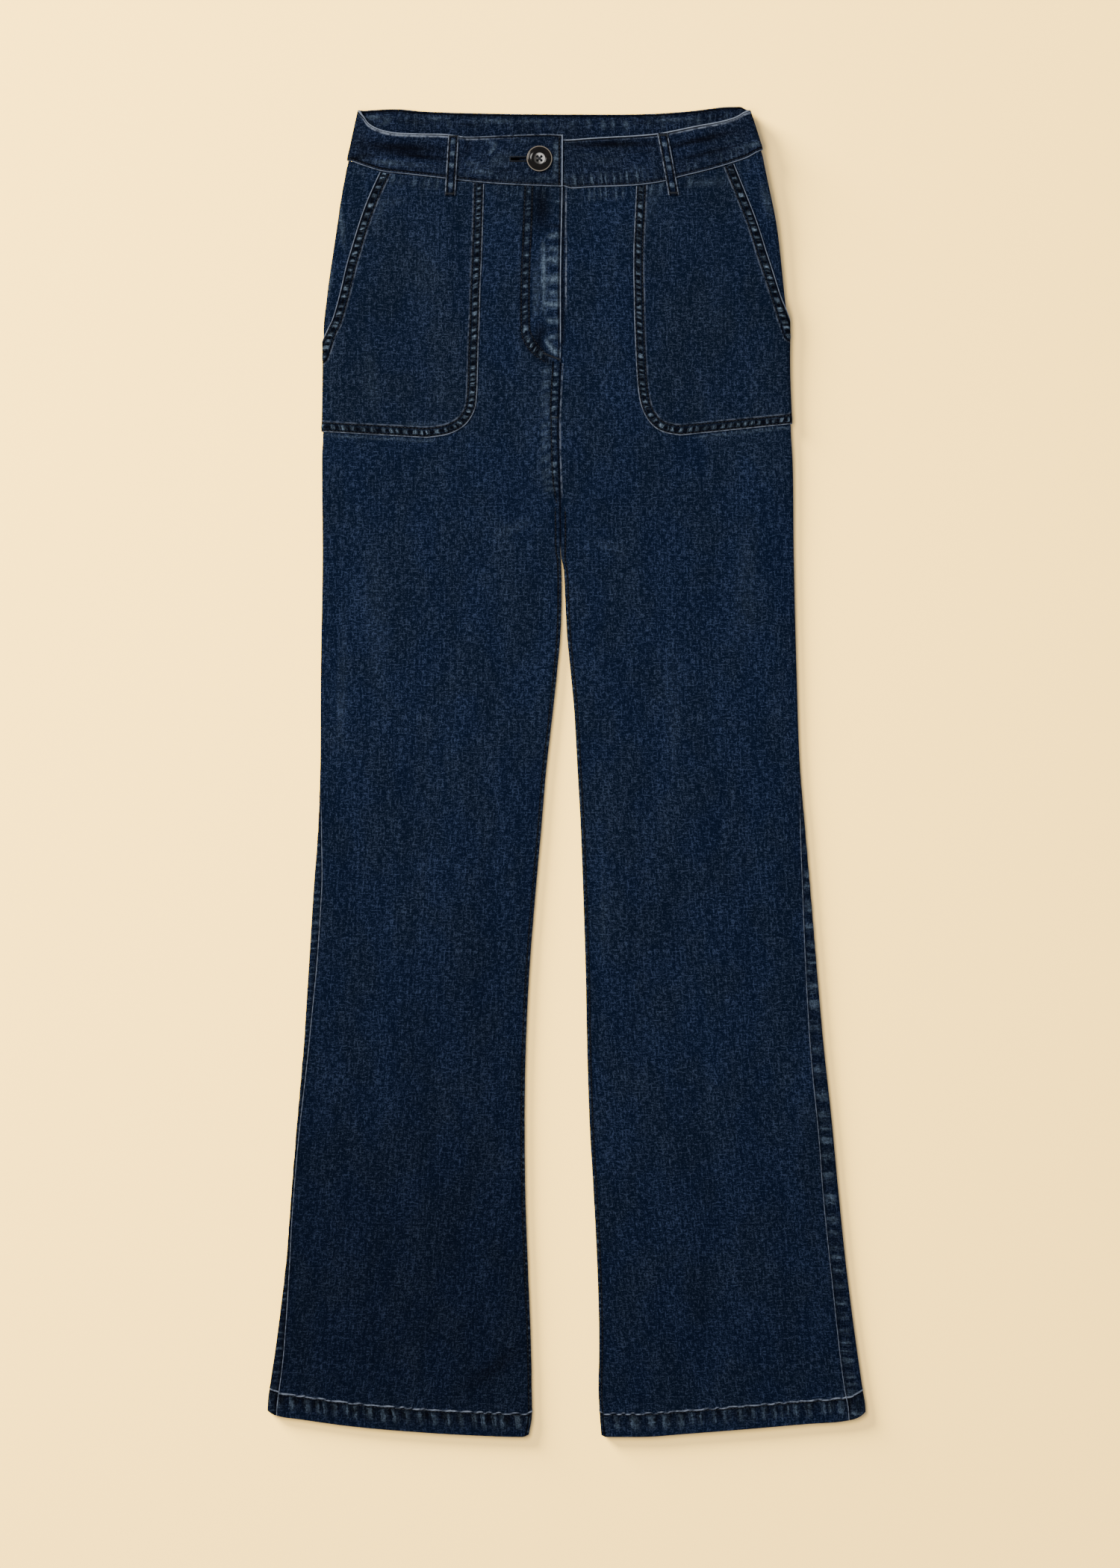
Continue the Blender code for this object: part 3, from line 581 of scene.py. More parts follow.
# %% [markdown]
# ## Paths and what happens along them
# Seams pull the cloth into small uneven puckers, and washing wears their tops pale. Each seam is
# a path in plan. `near` tells every point of a piece how far along and how far off the path it
# lies, with plus on the left of the way it runs, and the puckers are drawn from that.

# %% Paths
PATH_STEPS, NOWHERE = 8, 9.0


def path(*points):
    """Smooth path through points in millimetres."""
    given = np.array([points[0], *points, points[-1]], float) * MM
    t = np.linspace(0, 1, PATH_STEPS, endpoint=False)[:, None]
    pieces = [
        (2 * b + (c - a) * t + (2 * a - 5 * b + 4 * c - d) * t ** 2
         + (3 * b - a - 3 * c + d) * t ** 3) / 2
        for a, b, c, d in zip(given, given[1:], given[2:], given[3:])]
    return np.vstack([*pieces, given[-1:]])


def near(route, x, y):
    """Distance along and signed distance off a path, for every point."""
    along, off = np.zeros(x.shape), np.full(x.shape, NOWHERE)
    walked = 0.0
    for start, end in zip(route, route[1:]):
        length = float(np.hypot(*(end - start)))
        if length == 0:
            continue
        way = (end - start) / length
        dx, dy = x - start[0], y - start[1]
        t = np.clip(dx * way[0] + dy * way[1], 0, length)
        distance = np.hypot(dx - t * way[0], dy - t * way[1])
        distance *= np.where(way[0] * dy - way[1] * dx < 0, -1, 1)
        closer = np.abs(distance) < np.abs(off)
        off = np.where(closer, distance, off)
        along = np.where(closer, walked + t, along)
        walked += length
    return along, off


def shifted(route, distance):
    """A path moved to its left, or to its right for a minus distance."""
    way = np.gradient(route, axis=0)
    way /= np.hypot(*way.T)[:, None] + 1e-9
    return route + np.stack([-way[:, 1], way[:, 0]], -1) * distance


def bell(value, width, power=2):
    return np.exp(-np.abs(value / width) ** power)


def beats(along, pitch, seed):
    """Uneven count along a seam, about one every pitch. A pucker stands on each whole number."""
    rng = np.random.default_rng(seed)
    count = int(float(along.max() - along.min()) / pitch * 1.8) + 14
    places = along.min() - 3 * pitch + np.cumsum(pitch * rng.uniform(0.45, 1.55, count))
    return np.interp(along, places, np.arange(count))


def bumps(beat, thin=0.3):
    """Rounded bump on each whole beat."""
    return bell(beat - np.round(beat), thin)


print("paths ready")

# %% [markdown]
# A `Sheet` gathers what happens on one piece, feature by feature. Lift is real relief. Tone goes
# from -1, near black, to 1, worn pale; below zero it is partly darker dye and partly painted shade.
# Edge is the distance from the nearest worn fold, and the mark after it tells how pale that fold
# is. Stitch is the distance from the nearest row of stitches. Beat counts the puckers along a seam
# and pull is how strong they are. The material draws fine lines and puckers from all but the
# first two, sharper than the mesh could.

# %% What happens on a piece
FAR = 0.05
ROLL = 0.42                           # radius of a rolled edge, as a share of the wall
THINNEST = 0.15 * MM
MARKS = ("tone", "edge", "wear_and_highlight", "stitch", "beat", "pull")

# Where the random draws of each seam's puckers start
SEEDS = {"hem_front": 31, "waist": 41, "inseam": 51, "fly": 61, "centre": 71, "centre_wear": 73,
         "hem_back": 81, "side_seam": 91, "inseam_back": 95, "opening": 101, "pocket_edge": 111,
         "pocket_top": 121, "underlap": 133, "overlap": 135, "overlap_end": 137, "inside": 151}


class Sheet:
    """Relief and marks of one piece, over an array of plan points."""

    def __init__(self, x, y):
        self.x, self.y = np.broadcast_arrays(x, y)
        self.lift = self.drop = self.tone = np.zeros(self.x.shape)
        self.wear_and_highlight = self.beat = self.pull = np.zeros(self.x.shape)
        self.edge = self.stitch = np.full(self.x.shape, FAR)

    def add(self, shape, height, tone):
        self.lift = self.lift + shape * height
        self.tone = self.tone + shape * tone

    def line(self, distance, middle, width, tone, height=0.0, shown=1.0, power=2):
        """Soft line of tone and relief beside a seam, sizes in millimetres."""
        self.add(bell(distance - middle * MM, width * MM, power) * shown, height * MM, tone)

    def fold(self, distance, wear_and_highlight, shown=True):
        distance = np.abs(np.where(shown, distance, FAR))
        self.wear_and_highlight = np.where(distance < self.edge, wear_and_highlight, self.wear_and_highlight)
        self.edge = np.minimum(self.edge, distance)

    def row(self, distance, shown=True):
        self.stitch = np.minimum(self.stitch, np.abs(np.where(shown, distance, FAR)))

    def creases(self, rows):
        """Soft ridges and troughs, each a middle, a turn, a half length, a width and a strength."""
        # A dark tone in a trough is painted shade; a pale tone on a ridge is wear.
        for x, y, turn, half, width, height, tone in rows:
            c, s = math.cos(math.radians(turn)), math.sin(math.radians(turn))
            dx, dy = self.x - x * MM, self.y - y * MM
            fade = 1 - smoothstep(np.abs(dx * c + dy * s) / (half * MM))
            self.add(fade * bell(dy * c - dx * s, width * MM), height * MM, tone)

    def ladder(self, along, off, middle, width, pitch, slant, seed, height=0.25, pull=0.5):
        """Row of puckers between or beside two rows of stitches, sizes in millimetres."""
        off = off - middle * MM
        across = bell(off, width * MM, 4)
        beat = beats(along + slant * off, pitch * MM, seed)
        self.lift = self.lift + bumps(beat) * across * height * MM
        self.beat = np.where(across * pull > self.pull, beat, self.beat)
        self.pull = np.maximum(self.pull, across * pull)

    def roll(self, distance, wall):
        """Round a cut or folded edge over."""
        radius = ROLL * wall
        short = radius - np.clip(distance, 0, radius)
        self.drop = np.maximum(self.drop, radius - np.sqrt(radius ** 2 - short ** 2))

    def faces(self, base, wall):
        """Lifts of the outer and the inner face, rolled together at the edges."""
        inner = base - wall + self.drop
        return np.maximum(base + self.lift - self.drop, inner + THINNEST), inner


print("marks:", MARKS)

# %% [markdown]
# ## Walls of cloth
# A piece is a wall between an outer and an inner grid of points, closed round its rim. The faces
# are built so that all of them turn the same way, and the volume tells which way is out.

# %% Cloth mesh
def quads(*corners):
    return np.stack([corner.ravel() for corner in corners], -1)


def wall_faces(rows, columns):
    """Faces of a closed wall between two grids, all turning the same way."""
    outer = np.arange(rows * columns).reshape(rows, columns)
    inner = outer + rows * columns
    faces = [
        quads(outer[:-1, :-1], outer[:-1, 1:], outer[1:, 1:], outer[1:, :-1]),
        quads(inner[:-1, :-1], inner[1:, :-1], inner[1:, 1:], inner[:-1, 1:]),
        quads(outer[:-1, 0], outer[1:, 0], inner[1:, 0], inner[:-1, 0]),
        quads(outer[1:, -1], outer[:-1, -1], inner[:-1, -1], inner[1:, -1]),
        quads(outer[0, 1:], outer[0, :-1], inner[0, :-1], inner[0, 1:]),
        quads(outer[-1, :-1], outer[-1, 1:], inner[-1, 1:], inner[-1, :-1])]
    return np.concatenate(faces)


def new_piece(name, mesh, finish):
    """Put a mesh in the scene under its own name and finish."""
    mesh.materials.append(finish)
    return linked(name, mesh)


def put_on(piece, slot, *nodes):
    """Fix a finished piece to the jeans, in place of the CAD nodes that it stands for."""
    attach(piece, "root")
    if nodes:
        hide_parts(*nodes)
    return piece


def show(pieces):
    print({piece.name: len(piece.data.polygons) for piece in pieces})


def cloth(name, outer, inner, uv, sheet, finish, inner_sheet=None):
    """Closed wall of cloth with its cloth UV map and its marks."""
    points = np.concatenate([outer.reshape(-1, 3), inner.reshape(-1, 3)])
    faces = wall_faces(*outer.shape[:2])
    a, b, c, d = (points[faces[:, k]] for k in range(4))
    if (np.cross(c - a, d - b) * a).sum() < 0:
        faces = faces[:, ::-1]
    mesh = new_mesh(name, points.tolist(), faces.tolist())
    for mark in MARKS:
        values = [getattr(face, mark).ravel() for face in (sheet, inner_sheet or sheet)]
        layer = mesh.attributes.new(mark, "FLOAT", "POINT")
        layer.data.foreach_set("value", np.concatenate(values).astype(np.float32))
    corners = np.concatenate([uv.reshape(-1, 2)] * 2)[faces.ravel()]
    mesh.uv_layers.new(name="cloth").data.foreach_set("uv", corners.ravel().astype(np.float32))
    mesh.shade_smooth()
    mesh.set_sharp_from_angle(angle=math.radians(60))
    return new_piece(name, mesh, finish)


def wrap(name, skin, girth, sheet, base, wall, across, finish):
    """Cloth on its stretch of skin, at a lift."""
    outer, inner = (skin.points(girth, lift) for lift in sheet.faces(base, wall))
    return cloth(name, outer, inner, np.stack([across, sheet.y], -1), sheet, finish)


print("cloth maker ready")

# %% [markdown]
# ## Denim
# Dark indigo stretch denim. The warp is dyed and the weft is nearly white, so the weave shows as
# short pale strokes along and across the cloth over a dark ground, with faint long streaks where
# the warp yarn runs thick and thin. The noises below are stretched along the piece's own UV map,
# in metres, so that the strokes follow the cloth round its rolled edges. Slow noises on the
# object's own coordinates shift the colour in large patches.

# %% The weave
WORN_BLUE = (0.225, 0.31, 0.41)
WORN_LINE = (0.30, 0.35, 0.45)
DEEP_SHADE = (0.0016, 0.0019, 0.0042)
STROKE_WIDTH, STROKE_LENGTH, GRAIN = 1.45 * MM, 4.8 * MM, 1.05 * MM
STREAK_WIDTH, STREAK_LENGTH = 1.9 * MM, 34.0 * MM


def weave(finish):
    """Crossed strokes, from 0 in the gaps to 1 on the palest threads."""
    uv = finish.node("ShaderNodeUVMap", {"uv_map": "cloth"}, {})
    warp = finish.noise(uv, (1 / STROKE_WIDTH, 1 / STROKE_LENGTH, 1))
    weft = finish.noise(uv, (1 / STROKE_LENGTH, 1 / STROKE_WIDTH, 1))
    grain = finish.noise(uv, (1 / GRAIN, 1 / GRAIN, 1), detail=1.0)
    streaks = finish.noise(uv, (1 / STREAK_WIDTH, 1 / STREAK_LENGTH, 1))
    return warp.most(weft) * 0.54 + grain * 0.32 + streaks * 0.14


# %% [markdown]
# Where thread shrinks in the wash, the cloth beside it puckers, and the tops of the puckers wear
# pale while the dye stays in the dips. The pieces carry a beat, which counts along each seam. A
# worn bar is drawn wherever it is near a whole number, with a ragged edge, and some are left out.

# %% Puckers
def puckers(finish, place):
    """How much worn bar, and how much dark dip, shows beside a seam."""
    pull = finish.attribute("pull")
    ragged = finish.noise(place, (330, 330, 330), detail=2.0)
    beat = finish.attribute("beat") + (ragged - 0.5) * 0.5
    off = finish.node("ShaderNodeMath", {"operation": "PINGPONG"}, {0: beat, 1: 0.5})
    chance = finish.node("ShaderNodeTexNoise", {"noise_dimensions": "1D"}, {"W": beat * 0.8})
    width = off - (chance - 0.5) * 0.5
    groups = finish.ramp(finish.noise(place, (95, 95, 95), detail=1.0), 0.38, 0.58, 0.45, 1.15)
    bar = finish.ramp(width, 0.03, 0.34, 1.0, 0.0) * finish.ramp(chance, 0.34, 0.56, 0.25, 1.0) * groups
    return bar * pull, (1.0 - bar) * pull


# %% [markdown]
# The finish puts it together: woven ground, worn and dark tones, puckers, rows of stitches, and a
# thin pale line on every worn fold. The dark tones are partly darker dye and partly painted shade,
# in crease troughs, seam grooves and stitch furrows.

# %% Denim material
def denim(name, deep, bright):
    """Denim between a deep ground and a bright stroke colour."""
    finish = Finish(name)
    place = finish.place()
    strokes = weave(finish)
    patches = finish.noise(place, (40, 9, 26), detail=3.0)
    clouds = finish.noise(place, (110, 70, 110), detail=2.0)
    lit = finish.ramp(strokes + (patches - 0.5) * 0.07 + (clouds - 0.5) * 0.04, 0.483, 0.680)
    colour = finish.mix(lit, deep, bright)
    green = finish.ramp(finish.noise(place, (30, 20, 30), detail=3.0), 0.40, 0.62)
    tint = finish.mix(green, (0.94, 0.985, 1.06), (1.02, 1.015, 0.96))
    colour = finish.node("ShaderNodeMix", {"data_type": "RGBA", "blend_type": "MULTIPLY"},
                         {0: 1.0, 6: colour, 7: tint}, output=2)

    tone = finish.attribute("tone")
    bar, dip = puckers(finish, place)
    rub = finish.ramp(strokes, 0.42, 0.66, 0.40, 1.25)
    rubbed = finish.ramp(finish.noise(place, (330, 330, 330), detail=3.0), 0.36, 0.62, 0.45, 1.25)
    pale = ((tone.most(0.0) * rubbed + bar) * rub).least(1.0)
    # Below zero, tone is partly darker dye and partly painted shade in crease troughs and seam grooves;
    # the pucker dips are dye.
    dark = ((tone * -1.0).most(0.0) + dip * 0.85).least(0.92)
    colour = finish.mix(dark, colour, DEEP_SHADE)
    colour = finish.mix(pale, colour, WORN_BLUE)

    # Painted shade along each row of stitches, in the furrow that the thread pulls into the cloth; the
    # bump below sinks the same furrow.
    stitch = finish.attribute("stitch")
    colour = finish.mix(finish.ramp(stitch, 0.45 * MM, 1.15 * MM, 0.90, 0.0), colour, DEEP_SHADE)
    edge, wear_and_highlight = finish.attribute("edge"), finish.attribute("wear_and_highlight")
    gaps = finish.ramp(finish.noise(place, (240, 240, 240), detail=2.0), 0.38, 0.58, 0.85, 0.0)
    broken = 1.0 - gaps * finish.ramp(wear_and_highlight, 0.55, 0.95, 1.0, 0.25)
    line = finish.ramp(edge, 0.36 * MM, 0.94 * MM, 1.0, 0.0) * wear_and_highlight * broken
    colour = finish.mix(line.least(1.0), colour, WORN_LINE)

    crumple = finish.noise(place, (70, 55, 70), detail=4.0, roughness=0.6)
    normal = finish.bump(crumple, 0.8 * MM, 0.6)
    furrow = finish.ramp(stitch, 0.0, 1.4 * MM, -1.0, 0.0)
    normal = finish.bump(furrow, 0.25 * MM, 0.8, normal)
    normal = finish.bump(bar, 0.5 * MM, 0.8, normal)
    normal = finish.bump(strokes, 0.30 * MM, 0.8, normal)
    roughness = finish.ramp(strokes, 0.3, 0.8, 0.95, 0.8)
    return finish.surface(specular=0.05, base_color=colour, roughness=roughness, normal=normal)


PANEL_DENIM = denim("denim_panels", (0.0027, 0.0079, 0.0242), (0.0445, 0.0660, 0.1290))
POCKET_DENIM = denim("denim_pockets", (0.0028, 0.0080, 0.0228), (0.0450, 0.0640, 0.1190))
BAND_DENIM = denim("denim_band", (0.0032, 0.0072, 0.0215), (0.0450, 0.0640, 0.1220))
print("denim:", PANEL_DENIM.name, POCKET_DENIM.name, BAND_DENIM.name)

# %% [markdown]
# ## Seams in plan
# The seam paths, in millimetres. The fly is stitched in a double J, the centre seam below it has
# one row beside its fold, and each pocket has a double row all round its free edge.

# %% Seam paths
J_OUTER = path((-34.6, 496), (-36.2, 455), (-37.7, 420.2), (-37.9, 376.1), (-35.6, 363.5),
               (-28.7, 353.6), (-19.2, 346.6))
J_INNER = path((-28.3, 496), (-29.8, 455), (-31.2, 420.2), (-31.4, 379.3), (-29.6, 369.0),
               (-24.6, 360.2), (-17.3, 352.4))
CENTRE_ROW = path((-11.0, 346.5), (-12.9, 316.9), (-12.9, 298.6), (-11.9, 253.9), (-8.4, 228.1))
POCKET_ROWS_IN, RUN_ON = (1.4 * MM, 7.6 * MM), 15 * MM
POCKET_STEP, POCKET_LEVELS = 1.35 * MM, 1500


def pocket_grid(side):
    """Skin and girths of a pocket, from its hand opening to its inner edge."""
    rows = POCKETS[side]
    index = np.arange(len(rows["inset"]))
    fine = np.linspace(0, index[-1], POCKET_LEVELS)
    middle = sum(read({"k": index, key: rows[key]}, key, fine, "k")
                 for key in ("outer_level", "inner_level")) / 2
    levels = stops(middle[0], middle[-1], POCKET_STEP, (False, True))[0]
    k = np.interp(-levels, -middle, fine)
    inset, outer_level, inner_x, inner_level = (
        read({"k": index, key: rows[key]}, key, k, "k") for key in rows)
    end_skin = Skin(side, inner_level)
    start = Skin(side, outer_level).girth(inset) + GAP / 2
    end = end_skin.girth(side * (end_skin.edge - inner_x))
    girths = stops(start, end, POCKET_STEP)
    share = (girths - start[:, None]) / (end - start)[:, None]
    nominal = Skin(side, outer_level[:, None] + (inner_level - outer_level)[:, None] * share)
    seam = read(FRONT_WAIST[side], "seam", nominal.place(girths)[0], "inset") - GAP / 2
    up = np.clip((nominal.level - TOP_BEND) / (TOP_ROW - TOP_BEND), 0, None)
    skin = Skin(side, nominal.level + (seam - TOP_ROW) * up)
    return skin, skin.refit(girths, nominal), inset


def run_on(route, length):
    """A path carried straight on past both its ends."""
    first, last = route[0] - route[3], route[-1] - route[-4]
    before = route[0] + first / np.hypot(*first) * length
    after = route[-1] + last / np.hypot(*last) * length
    return np.vstack([before, route, after])


def pocket_outline(side):
    """Slanted hand opening, then the inner edge on round to the side seam."""
    skin, girth, inset = POCKET_GRIDS[side]
    points = np.stack([skin.plan_x(girth), skin.level], -1)
    opening = points[inset > 0.1 * MM, 0]
    edge = np.vstack([points[:, -1], points[-1, -2::-1]])
    return run_on(opening, RUN_ON), run_on(edge, RUN_ON)


POCKET_GRIDS = {side: pocket_grid(side) for side in (RIGHT, LEFT)}
OUTLINES = {side: pocket_outline(side) for side in (RIGHT, LEFT)}
print("pocket grids:", {SIDE_NAMES[side]: POCKET_GRIDS[side][1].shape for side in POCKET_GRIDS})


def inside_pocket(side, x, y):
    """Along and inward distance for both free edges of a pocket."""
    slant, inner = OUTLINES[side]
    slant_along, slant_off = near(slant, x, y)
    inner_along, inner_off = near(inner, x, y)
    return slant_along, -side * slant_off, inner_along, side * inner_off


# %% [markdown]
# ## Creases and colour zones
# Creases, listed one by one: middle x and y, turn in degrees, half length, width and height, all
# in millimetres, and tone. The legs grow darker towards the shins.

# %% Creases
# The dark tones of the troughs are painted shade.
FRONT_CREASES = {
    RIGHT: (
        (-62, -503, 35, 50, 7, -0.5, -0.30), (-48, -520, 40, 40, 4, 0.4, 0.06),
        (-150, -200, 84, 210, 14, 0.3, 0.07), (-70, -180, 93, 190, 9, -0.2, -0.06),
        (-100, -20, 88, 180, 10, 0.2, 0.06), (-160, 120, 92, 120, 12, 0.2, 0.05),
        (-40, 60, 86, 150, 8, -0.2, -0.05), (-190, 60, 88, 140, 5, 0.15, 0.08),
        (-45, 205, 25, 32, 5, 0.25, 0.08), (-55, 232, 12, 36, 4, -0.2, -0.07),
        (-190, 466, 97, 34, 1.6, 0.2, 0.34), (-200.5, 412, 80, 26, 1.9, 0.2, 0.30)),
    LEFT: (
        (31, -120, 90, 120, 6, 0.35, 0.12), (60, -180, 88, 190, 9, -0.2, -0.06),
        (120, -220, 94, 200, 13, 0.3, 0.08), (165, -80, 92, 170, 8, 0.2, 0.07),
        (90, 30, 90, 170, 10, 0.2, 0.06), (150, 150, 87, 120, 12, 0.2, 0.05),
        (35, 190, -20, 36, 6, 0.25, 0.06), (50, 225, -10, 40, 5, -0.2, -0.07),
        (205, -360, 96, 120, 6, -0.2, -0.08), (110, -430, 92, 90, 9, -0.2, -0.06),
        (169, 481, 104, 22, 3.0, 0.15, 0.16), (100, -200, 91, 60, 4, 0.2, 0.06))}
ZONES = {
    RIGHT: ((-560, -0.36), (-480, -0.40), (-380, -0.34), (-250, -0.20), (-100, -0.10), (60, -0.02),
            (560, 0.0)),
    LEFT: ((-560, -0.20), (-480, -0.20), (-380, -0.16), (-250, -0.08), (-100, -0.08), (60, -0.02),
           (560, 0.0))}


def zone_tone(side, y):
    levels, tones = zip(*ZONES[side])
    return np.interp(y, np.array(levels) * MM, tones)


print("creases:", sum(len(rows) for rows in FRONT_CREASES.values()))

# %% [markdown]
# ## Front panels
# Each front panel covers the front of one leg and half the hips. Its marks are worked out from
# the distances to its seams. The right panel is raised where the fly laps over the left one.

# %% Marks of the front panels
HEM_ROW_UP, HEM_FOLD_UP, INSEAM_ROW_IN = 18.6 * MM, 19.8 * MM, 4.2 * MM
FLY_FOOT, CENTRE_FOOT, SOFT_END = 0.345, 0.232, 6
WAIST_PULLS = {RIGHT: ((-124, -70),), LEFT: ((14, 52), (100, 122))}
FLY_BARS = ((-11, 452, 6, 10, 2.2, 0.30, 0.44), (-10, 441, -4, 8, 1.5, 0.25, 0.32),
            (-10.5, 431.6, -5, 10, 1.9, 0.30, 0.54), (-11, 415, 4, 11, 2.3, 0.30, 0.60),
            (-10, 404, 8, 8, 1.5, 0.25, 0.30), (-11, 394, -4, 11, 2.0, 0.30, 0.50),
            (-12, 380, -8, 10, 2.0, 0.30, 0.44), (-11, 367, 5, 10, 1.9, 0.30, 0.40),
            (-9, 480, 0, 9, 1.8, 0.25, 0.22), (-8, 468, 3, 8, 1.5, 0.2, 0.16),
            (-19.4, 422, 91, 46, 1.5, 0.30, 0.48), (-7.0, 415, 90, 60, 1.9, 0.0, 0.16),
            (-26, 398, 90, 44, 3.0, 0.0, 0.13), (-15, 412, 90, 60, 8.0, 0.0, 0.09),
            (-21, 476, 90, 36, 7.5, 0.0, -0.74), (-8, 460, 0, 12, 2.0, 0.0, -0.55),
            (-8, 446.5, 0, 10, 1.5, 0.0, -0.40), (-8, 423.5, 0, 10, 1.8, 0.0, -0.45),
            (-8, 408.5, 0, 10, 1.4, 0.0, -0.35), (-8, 387, 0, 10, 1.7, 0.0, -0.42),
            (-23, 366, 84, 22, 5.5, 0.0, -0.74), (-10, 373.5, 0, 11, 1.8, 0.0, -0.50),
            (-15.5, 361, -48, 14, 2.0, 0.35, 0.62), (-8, 354, -10, 9, 2.0, 0.2, 0.40))


def rise(value, start, over):
    """Soft step from 0 at a start in metres to 1, over a width in millimetres."""
    return smoothstep((value - start) / (over * MM))


def window(x, start, end):
    """1 between two places in millimetres, with soft ends."""
    return rise(x, start * MM, SOFT_END) * rise(end * MM, x, SOFT_END)


def mark_hem(sheet, up, x, seed):
    """Turned-up hem: a stitched row, a worn ridge above it, and roping below."""
    shown = 1 - smoothstep((up - 30 * MM) / (4 * MM))
    up = up + 0.45 * MM * np.sin(2 * math.pi * beats(x, 11.0 * MM, seed + 200))
    sheet.ladder(x, up, 12.6, 5.6, 9.6, 0.12, seed, 0.30, 0.24)
    sheet.line(up, 15.0, 3.0, -0.45, shown=bumps(beats(x, 13.0 * MM, seed + 210), 0.26))
    sheet.line(up, 0.8, 1.2, 0.16)
    sheet.line(up, 20.8, 1.6, 0.03, 0.25, shown)
    sheet.line(up, 17.2, 1.0, -0.25)
    sheet.fold(up - HEM_FOLD_UP, 0.62 + 0.36 * bumps(beats(x, 11.0 * MM, seed + 220), 0.3))
    sheet.row(up - HEM_ROW_UP)


def front_sheet(side, skin, girth):
    """Everything that happens on a front panel."""
    x, y = skin.plan_x(girth), np.broadcast_to(skin.level, girth.shape)
    sheet = Sheet(x, y)
    sheet.tone = sheet.tone + zone_tone(side, y)
    sheet.creases(FRONT_CREASES[side])
    _, slant_in, _, inner_in = inside_pocket(side, x, y)
    covered = smoothstep(np.minimum(slant_in, inner_in) / (2 * MM) + 0.5) * (y > 0.28)
    mark_hem(sheet, above_hem(side, skin, girth), x, SEEDS["hem_front"] + side)

    below = read(FRONT_WAIST[side], "seam", skin.place(girth)[0], "inset") - y
    pulled = 0.05 + 0.17 * sum(window(x, start, end) for start, end in WAIST_PULLS[side])
    sheet.ladder(x, below, 5.0, 6.0, 5.6, 0.0, SEEDS["waist"] + side, 0.25, pulled)

    from_end = skin.reach - girth
    legs = skin.parted
    sheet.row(from_end - INSEAM_ROW_IN, y < HIPS_END)
    sheet.ladder(y, from_end, 2.4, 2.4, 7.0, 0.0, SEEDS["inseam"] + side, 0.15 * legs, 0.20 * legs)
    sheet.fold(from_end, 0.30 * legs)

    from_seam = girth - skin.seam()
    sheet.fold(from_seam, 0.75 * smoothstep(-y / (60 * MM)))
    sheet.line(from_seam, 1.6, 1.0, -0.18, shown=y < 0)
    outside = rise(np.abs(x), 0.10, 20) * (y < 0.31)
    sheet.line(inner_in, -2.6, 0.9, 0.22, 0.3, outside)
    if side == RIGHT:
        mark_fly(sheet, from_end)
    else:
        line = rise(y, 0.385, 20) * (1 - rise(y, 0.482, 14))
        sheet.fold(x + 0.4 * MM, 0.50 * line, y > 0.37)
        # Painted shadow beside the edge of the right panel's fly, which laps over this one, and painted
        # shade in the groove of the centre seam below it.
        sheet.line(x, -2.6, 1.0, -0.85, shown=rise(y, 0.355, 10))
        sheet.line(from_end, 0.0, 0.9, -0.80, shown=(y > 0.180) & (y < FLY_FOOT))
        sheet.fold(from_end - 1.7 * MM, 0.42, (y > CENTRE_FOOT) & (y < FLY_FOOT))
    sheet.lift = sheet.lift * (1 - covered)
    sheet.roll(from_end, WALL)
    sheet.roll(from_seam, WALL)
    return sheet


def mark_fly(sheet, from_end):
    """Double J, worn bars across the lap, and the lapped centre seam below it."""
    x, y = sheet.x, sheet.y
    along, off = near(J_OUTER, x, y)
    on_j = bell(off - 3.2 * MM, 40 * MM, 8)
    sheet.row(off, on_j > 0.5)
    sheet.row(near(J_INNER, x, y)[1])
    faint = 0.56 - 0.30 * rise(y, 0.425, 30)
    sheet.ladder(along, off, 3.2, 1.8, 8.0, 0.3, SEEDS["fly"], 0.25, faint)
    sheet.line(off, 1.0, 2.0, -0.45)
    sheet.line(off, 6.0, 1.5, -0.40)
    sheet.creases(FLY_BARS)
    sheet.line(off, -2.0, 1.6, -0.12, shown=y > 0.34)
    faded = 0.50 + 0.34 * rise(y, 0.352, 30)
    sheet.fold(from_end - 0.35 * MM, faded, y > FLY_FOOT)
    sheet.row(from_end - 2.0 * MM, y > FLY_FOOT)
    # Painted shade in the groove of the centre seam, where the two fronts meet.
    sheet.line(from_end, 0.0, 1.3, -0.85, shown=(y > 0.178) & (y < FLY_FOOT))
    centre_off = near(CENTRE_ROW, x, y)[1]
    sheet.row(centre_off, (y < 0.348) & (y > 0.228))
    low = rise(y, CENTRE_FOOT, SOFT_END) * (1 - rise(y, 0.340, SOFT_END))
    sheet.ladder(y, from_end, 4.4, 2.0, 7.0, 0.0, SEEDS["centre"], 0.3 * low, 0.50 * low)
    left = low * bell(centre_off + 5 * MM, 4.5 * MM, 4)
    sheet.add(left * bumps(beats(y - 0.4 * x, 8.0 * MM, SEEDS["centre_wear"])), 0.25 * MM, 0.16)


print("fly bars:", len(FLY_BARS))

# %% [markdown]
# The grid of a front panel runs from the side seam to the inner end. Its columns are closer
# together over the fly, where the puckers are small.

# %% Front panels
FLY_UNDERLAP, FLY_UNDERLAP_END = 12 * MM, 349 * MM
HEM_DEPTH, FLY_COLUMNS = 20 * MM, 46 * MM
SEAM_OVERLAP, HAIR = 0.05 * MM, 0.02 * MM


def panel_wall(rows):
    """The wall is thicker in the hem."""
    return np.where(rows < HEM_ROW + HEM_DEPTH - MM, HEM_WALL, WALL)[:, None]


def seam_gap(skin):
    """Half the gap to the other leg's panel. Above the crotch the fronts just overlap."""
    return (GAP / 2 + SEAM_OVERLAP) * skin.parted - SEAM_OVERLAP


